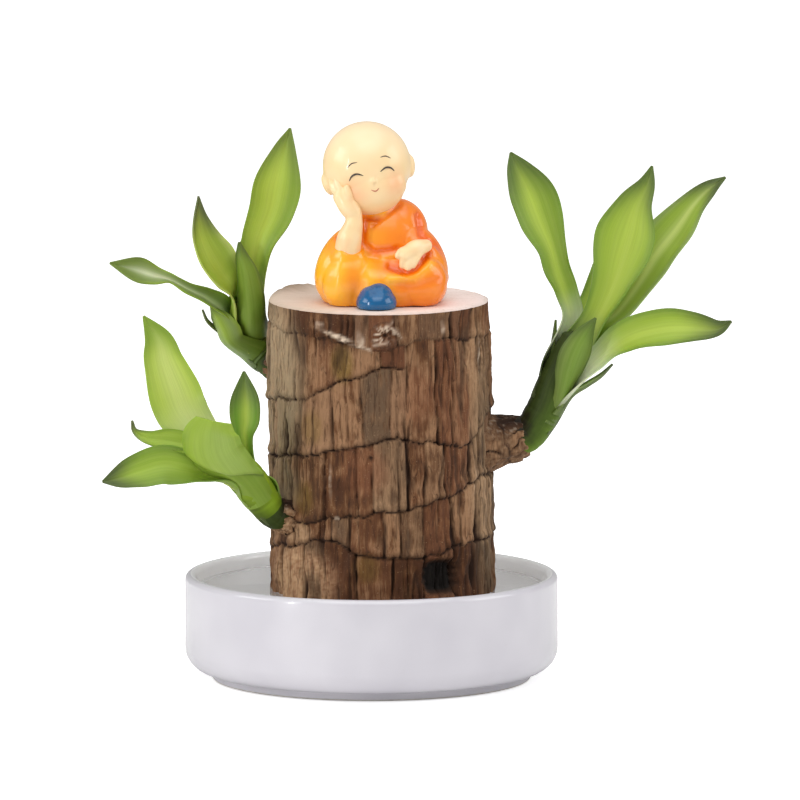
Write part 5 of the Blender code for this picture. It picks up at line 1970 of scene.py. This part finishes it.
    def fuse(self, name: str, masses: tuple[Mass, ...], place: Matrix, voxel: float,
             rounds: int = 8) -> bpy.types.Object:
        """Melt rounded masses into one smooth closed form.

        Args:
            name: the form's name.
            masses: what it is made of.
            place: turns and moves the masses to where they belong, in millimetres.
            voxel: how fine the form is, in millimetres.
            rounds: how often its surface is smoothed.

        Returns:
            The form as one closed mesh.
        """
        balls = []
        for mass in masses:
            deselect()
            bpy.ops.mesh.primitive_uv_sphere_add(segments=40, ring_count=24, radius=1.0)
            ball = bpy.context.active_object
            turn = Matrix.Rotation(math.radians(mass.tilt), 4, "Y") @ Matrix.Rotation(math.radians(mass.nod), 4, "X")
            shape = place @ Matrix.Translation(mass.centre) @ turn @ Matrix.Diagonal((*mass.radii, 1.0))
            ball.data.transform(Matrix.Scale(MM, 4) @ shape)
            balls.append(ball)
        activate(*balls)
        bpy.ops.object.join()
        form = bpy.context.active_object
        form.name = form.data.name = name
        apply_modifier(form, "REMESH", mode="VOXEL", voxel_size=voxel * MM)
        apply_modifier(form, "SMOOTH", factor=0.5, iterations=rounds)
        return form

    def trim(self, form: bpy.types.Object) -> None:
        """Cut the form flat where it stands on the wood."""
        with Editing(form, "VERT"):
            bpy.ops.mesh.select_all(action="SELECT")
            bpy.ops.mesh.bisect(
                plane_co=(0.0, 0.0, self.foot * MM), plane_no=(0.0, 0.0, 1.0),
                use_fill=True, clear_inner=True,
            )

    def crease(self, form: bpy.types.Object) -> None:
        """Press the folds into the front of the robe, and store painted shade in its creases, a painted highlight on
        its ridges and a lighter left side.
        """
        base = self.base()
        relief = []
        form.data.update()
        normals = [vertex.normal.copy() for vertex in form.data.vertices]
        for vertex, normal in zip(form.data.vertices, normals):
            spot = vertex.co / MM - base
            front = smooth(-0.1, 0.45, -normal.y)
            out, level = 0.0, 0.0
            for fold in self.folds:
                near = min(
                    self.line_distance(spot.x, spot.z, first, second)
                    for first, second in zip(fold.line, fold.line[1:])
                )
                if near < fold.width * 2.4:
                    out += fold.height * hump(near, fold.width)
                    # Painted shade in the creases and a painted highlight on the ridges.
                    level += math.copysign(hump(near, fold.width * 1.4), fold.height) * min(abs(fold.height), 0.8)
            lift = smooth(0.0, 2.5, spot.z)
            vertex.co = vertex.co + normal * out * front * lift * MM
            # Random mottling, and painted light that makes the robe's left side lighter.
            mottle_and_left_light = 0.1 * noise.noise(spot * 0.2) + 0.28 * (1.0 - smooth(-12.0, 8.0, spot.x))
            relief.append(min(max(0.45 + 0.55 * level * front + mottle_and_left_light, 0.0), 1.0))
        point_values(form, "relief", relief)

    @staticmethod
    def line_distance(x: float, z: float, first: tuple, second: tuple) -> float:
        """Return how far a point is from a straight piece of line."""
        along = (second[0] - first[0], second[1] - first[1])
        length = along[0] ** 2 + along[1] ** 2
        share = ((x - first[0]) * along[0] + (z - first[1]) * along[1]) / length
        share = min(max(share, 0.0), 1.0)
        return math.hypot(x - first[0] - along[0] * share, z - first[1] - along[1] * share)

    def plain_relief(self, form: bpy.types.Object, level: Callable[[Vector], float]) -> None:
        """Store how light or deep the paint is at each vertex, from its place in millimetres."""
        point_values(form, "relief", [level(vertex.co / MM) for vertex in form.data.vertices])

    def head_place(self) -> Matrix:
        """Return what puts the head in its place, tilted and turned."""
        centre = self.base() + Vector(self.head_centre)
        tilt = Matrix.Rotation(math.radians(self.head_tilt), 4, "Y")
        return Matrix.Translation(centre) @ tilt @ Matrix.Rotation(math.radians(self.face_turn), 4, "Z")

    def face_point(self, skin: BVHTree, across: float, up: float) -> tuple[Vector, Vector]:
        """Return a point of the face and its normal, for angles from the head's middle.

        Args:
            skin: the head's surface, in metres.
            across: degrees to the right, as the viewer sees it.
            up: degrees above the middle.

        Returns:
            The point in millimetres and the outward normal.
        """
        place = self.head_place()
        turn, rise = math.radians(across), math.radians(up)
        way = Vector((math.sin(turn) * math.cos(rise), -math.cos(turn) * math.cos(rise), math.sin(rise)))
        way = (place.to_3x3() @ way).normalized()
        centre = place.translation * MM
        hit, normal, _, _ = skin.ray_cast(centre + way * 0.05, -way)
        return hit / MM, normal

    def painted_line(self, name: str, skin: BVHTree, marks: tuple, width: float) -> bpy.types.Object:
        """Lay a thin raised brush line on the face.

        Args:
            name: the line's name.
            skin: the head's surface.
            marks: the places along the line, in degrees across and up.
            width: the half width in its middle, in millimetres.

        Returns:
            The line, tapered to both of its ends.
        """
        places = [(across, up, 0.0) for across, up in marks]

        def centre(share: float) -> Vector:
            mark = spline(places, share)
            point, normal = self.face_point(skin, mark.x, mark.y)
            return point + normal * 0.02

        def radius(_: float, share: float) -> float:
            return 0.0 if share in (0.0, 1.0) else width * math.sin(math.pi * share) ** 0.6 + 0.03

        return tube_mesh(name, centre, radius, 10, 28)

    def build(self) -> list[bpy.types.Object]:
        """Build the robe, the arm, the hand, the shoe and the head with its painted face."""
        base = Matrix.Translation(self.base())
        skin_paint = PaintedResin(
            "skin_paint", linear(246, 214, 162), linear(244, 190, 140), linear(250, 226, 188), 0.34, 0.25
        ).make()
        # The robe's deep colour is painted shade for its creases, its bright colour a painted highlight.
        robe_paint = PaintedResin(
            "robe_paint", linear(248, 138, 16), linear(236, 102, 10), linear(254, 178, 34), 0.26, 0.35
        ).make()
        shoe_paint = PaintedResin(
            "shoe_paint", linear(2, 86, 136), linear(2, 60, 104), linear(20, 112, 164), 0.16, 0.2
        ).make()
        line_paint = PaintedResin(
            "line_paint", linear(52, 38, 30), linear(40, 28, 22), linear(66, 50, 40), 0.4, 0.3
        ).make()
        mouth_paint = PaintedResin(
            "mouth_paint", linear(198, 120, 92), linear(180, 104, 80), linear(210, 134, 104), 0.4, 0.3
        ).make()
        robe = self.fuse("ornament_robe", self.robe, base, self.voxel)
        self.crease(robe)
        self.trim(robe)
        arm = self.fuse("ornament_arm", self.arm, base, self.voxel * 0.75, 4)
        hand = self.fuse("ornament_lap_hand", self.lap_hand, base, self.voxel * 0.7, 4)
        shoe = self.fuse("ornament_shoe", self.shoe, base, self.voxel * 0.75, 4)
        self.trim(shoe)
        head = self.fuse("ornament_head", self.head, self.head_place(), self.voxel, 14)
        for form in (arm, hand, shoe):
            self.plain_relief(form, lambda spot: 0.5 + 0.25 * noise.noise(spot * 0.3))
        middle = self.head_place()
        cheeks = [middle @ Vector((side * 6.6, -10.4, -5.4)) for side in (-1.0, 1.0)]
        # The cheeks take the paint's own blush; the head is also painted lighter towards its top, as painted light.
        self.plain_relief(
            head,
            lambda spot: 0.55 - 0.5 * max(hump((spot - cheek).length, 4.2) for cheek in cheeks)
            + 0.2 * smooth(0.0, 12.0, spot.z - middle.translation.z),
        )
        pieces = [(robe, robe_paint), (arm, skin_paint), (hand, skin_paint), (shoe, shoe_paint), (head, skin_paint)]
        shape = bmesh.new()
        shape.from_mesh(head.data)
        skin = BVHTree.FromBMesh(shape)
        shape.free()
        lines = {
            "ornament_eye_left": (((-35.0, -8.0), (-29.0, -1.5), (-21.0, 0.5), (-12.0, -3.5)), 0.26, line_paint),
            "ornament_eye_right": (((12.0, -3.5), (21.0, 0.5), (29.0, -1.5), (35.0, -8.0)), 0.26, line_paint),
            "ornament_brow_left": (((-33.0, 11.0), (-26.0, 16.0), (-17.0, 16.5)), 0.13, line_paint),
            "ornament_brow_right": (((17.0, 16.5), (26.0, 16.0), (33.0, 11.0)), 0.13, line_paint),
            "ornament_mouth": (((-6.0, -24.0), (0.0, -26.5), (6.0, -24.0)), 0.17, mouth_paint),
        }
        for name, (marks, width, paint) in lines.items():
            line = self.painted_line(name, skin, marks, width)
            self.plain_relief(line, lambda spot: 0.5)
            pieces.append((line, paint))
        for piece, paint in pieces:
            dress(piece, paint)
            smooth_shading(piece, 60.0)
            settle(piece, Slot.RESIN.value, "monk_figurine")
        return [piece for piece, _ in pieces]


@dataclass
class Studio:
    """The white room: a pale floor, soft lights and the camera, far off with a long lens."""

    target: tuple = (8.41, 0.0, 82.56)
    elevation: float = 8.2
    distance: float = 7860.0
    lens: float = 1200.0
    seen_sky: float = 1.05
    sky: float = 0.44
    floor_half: float = 30.0

    def build(self) -> None:
        """Set up the surroundings, the lights, the floor and the camera."""
        scene = bpy.context.scene
        scene.view_settings.view_transform = "Standard"
        world = bpy.data.worlds.new("white_room")
        world.use_nodes = True
        back = world.node_tree.nodes["Background"]
        back.inputs["Color"].default_value = (1.0, 1.0, 1.0, 1.0)
        self.brighter_to_camera(world.node_tree, back.inputs["Strength"], self.sky, self.seen_sky)
        scene.world = world
        self.build_floor()
        self.add_light("left_softbox", (-1.1, -0.2, 0.6), (0.6, 0.6), 4.0)
        self.add_light("right_softbox", (1.1, -0.15, 0.55), (0.7, 0.7), 4.0)
        self.add_light("front_softbox", (0.08, -0.75, 1.2), (1.2, 0.9), 4.8)
        self.add_light("top_softbox", (0.05, -0.15, 1.3), (1.3, 1.3), 5.4)
        self.add_light("strip_light", (-0.9, -0.76, 0.28), (0.05, 0.5), 2.6)
        self.build_camera(scene)

    @staticmethod
    def brighter_to_camera(tree: bpy.types.NodeTree, socket: bpy.types.NodeSocket,
                           others: float, seen: float) -> None:
        """Give a strength one value where the camera sees it and another as light on the plant.

        Args:
            tree: the nodes that the strength belongs to.
            socket: the strength.
            others: its value for the light that falls on the plant.
            seen: its value for the camera.
        """
        path = tree.nodes.new("ShaderNodeLightPath")
        span = tree.nodes.new("ShaderNodeMapRange")
        span.inputs["To Min"].default_value = others
        span.inputs["To Max"].default_value = seen
        tree.links.new(path.outputs["Is Camera Ray"], span.inputs["Value"])
        tree.links.new(span.outputs["Result"], socket)

    def build_floor(self) -> None:
        """Lay the pale floor that the dish stands on."""
        deselect()
        bpy.ops.mesh.primitive_plane_add(size=self.floor_half * 2.0, location=(0.0, 0.0, -0.0002))
        bpy.ops.object.transform_apply(location=True)
        floor = bpy.context.active_object
        floor.name = "floor"
        shader = Shader("pale_floor")
        shader.set(base_color=linear(250, 250, 250), roughness=0.9)
        shader.set(emission_color=(1.0, 1.0, 1.0))
        strength = shader.surface.inputs["Emission Strength"]
        self.brighter_to_camera(shader.tree, strength, 0.0, 0.6)
        dress(floor, shader.material)

    def add_light(self, name: str, place: tuple, size: tuple, power: float) -> None:
        """Add a soft light with a width and a height that looks at the plant."""
        deselect()
        bpy.ops.object.light_add(type="AREA", location=place)
        lamp = bpy.context.active_object
        lamp.name = name
        lamp.data.shape = "RECTANGLE"
        lamp.data.size, lamp.data.size_y = size
        lamp.data.energy = power
        aim = Vector((0.0, 0.0, 0.07)) - Vector(place)
        lamp.rotation_euler = aim.to_track_quat("-Z", "Y").to_euler()

    def build_camera(self, scene: bpy.types.Scene) -> None:
        """Place the camera before the plant, a little above it."""
        rise = math.radians(self.elevation)
        away = Vector((0.0, -math.cos(rise), math.sin(rise)))
        deselect()
        bpy.ops.object.camera_add(location=(Vector(self.target) + away * self.distance) * MM)
        camera = bpy.context.active_object
        camera.name = "front_camera"
        camera.rotation_euler = (math.radians(90.0 - self.elevation), 0.0, 0.0)
        camera.data.lens = self.lens
        camera.data.sensor_width = 36.0
        camera.data.clip_end = 20.0
        scene.camera = camera


def main() -> None:
    """Load the frame and build every part of the plant round it."""
    logging.basicConfig(level=logging.INFO, format="%(name)s: %(message)s")
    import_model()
    deselect()
    Studio().build()
    dish = Dish()
    dish.build()
    Water(dish).build()
    trunk = Trunk()
    trunk.build()
    for shoot in SHOOTS:
        trunk.build_collar(f"{shoot.name}_stub", shoot.collar)
        shoot.build()
    Ornament().build()


if __name__ == "__main__":
    main()
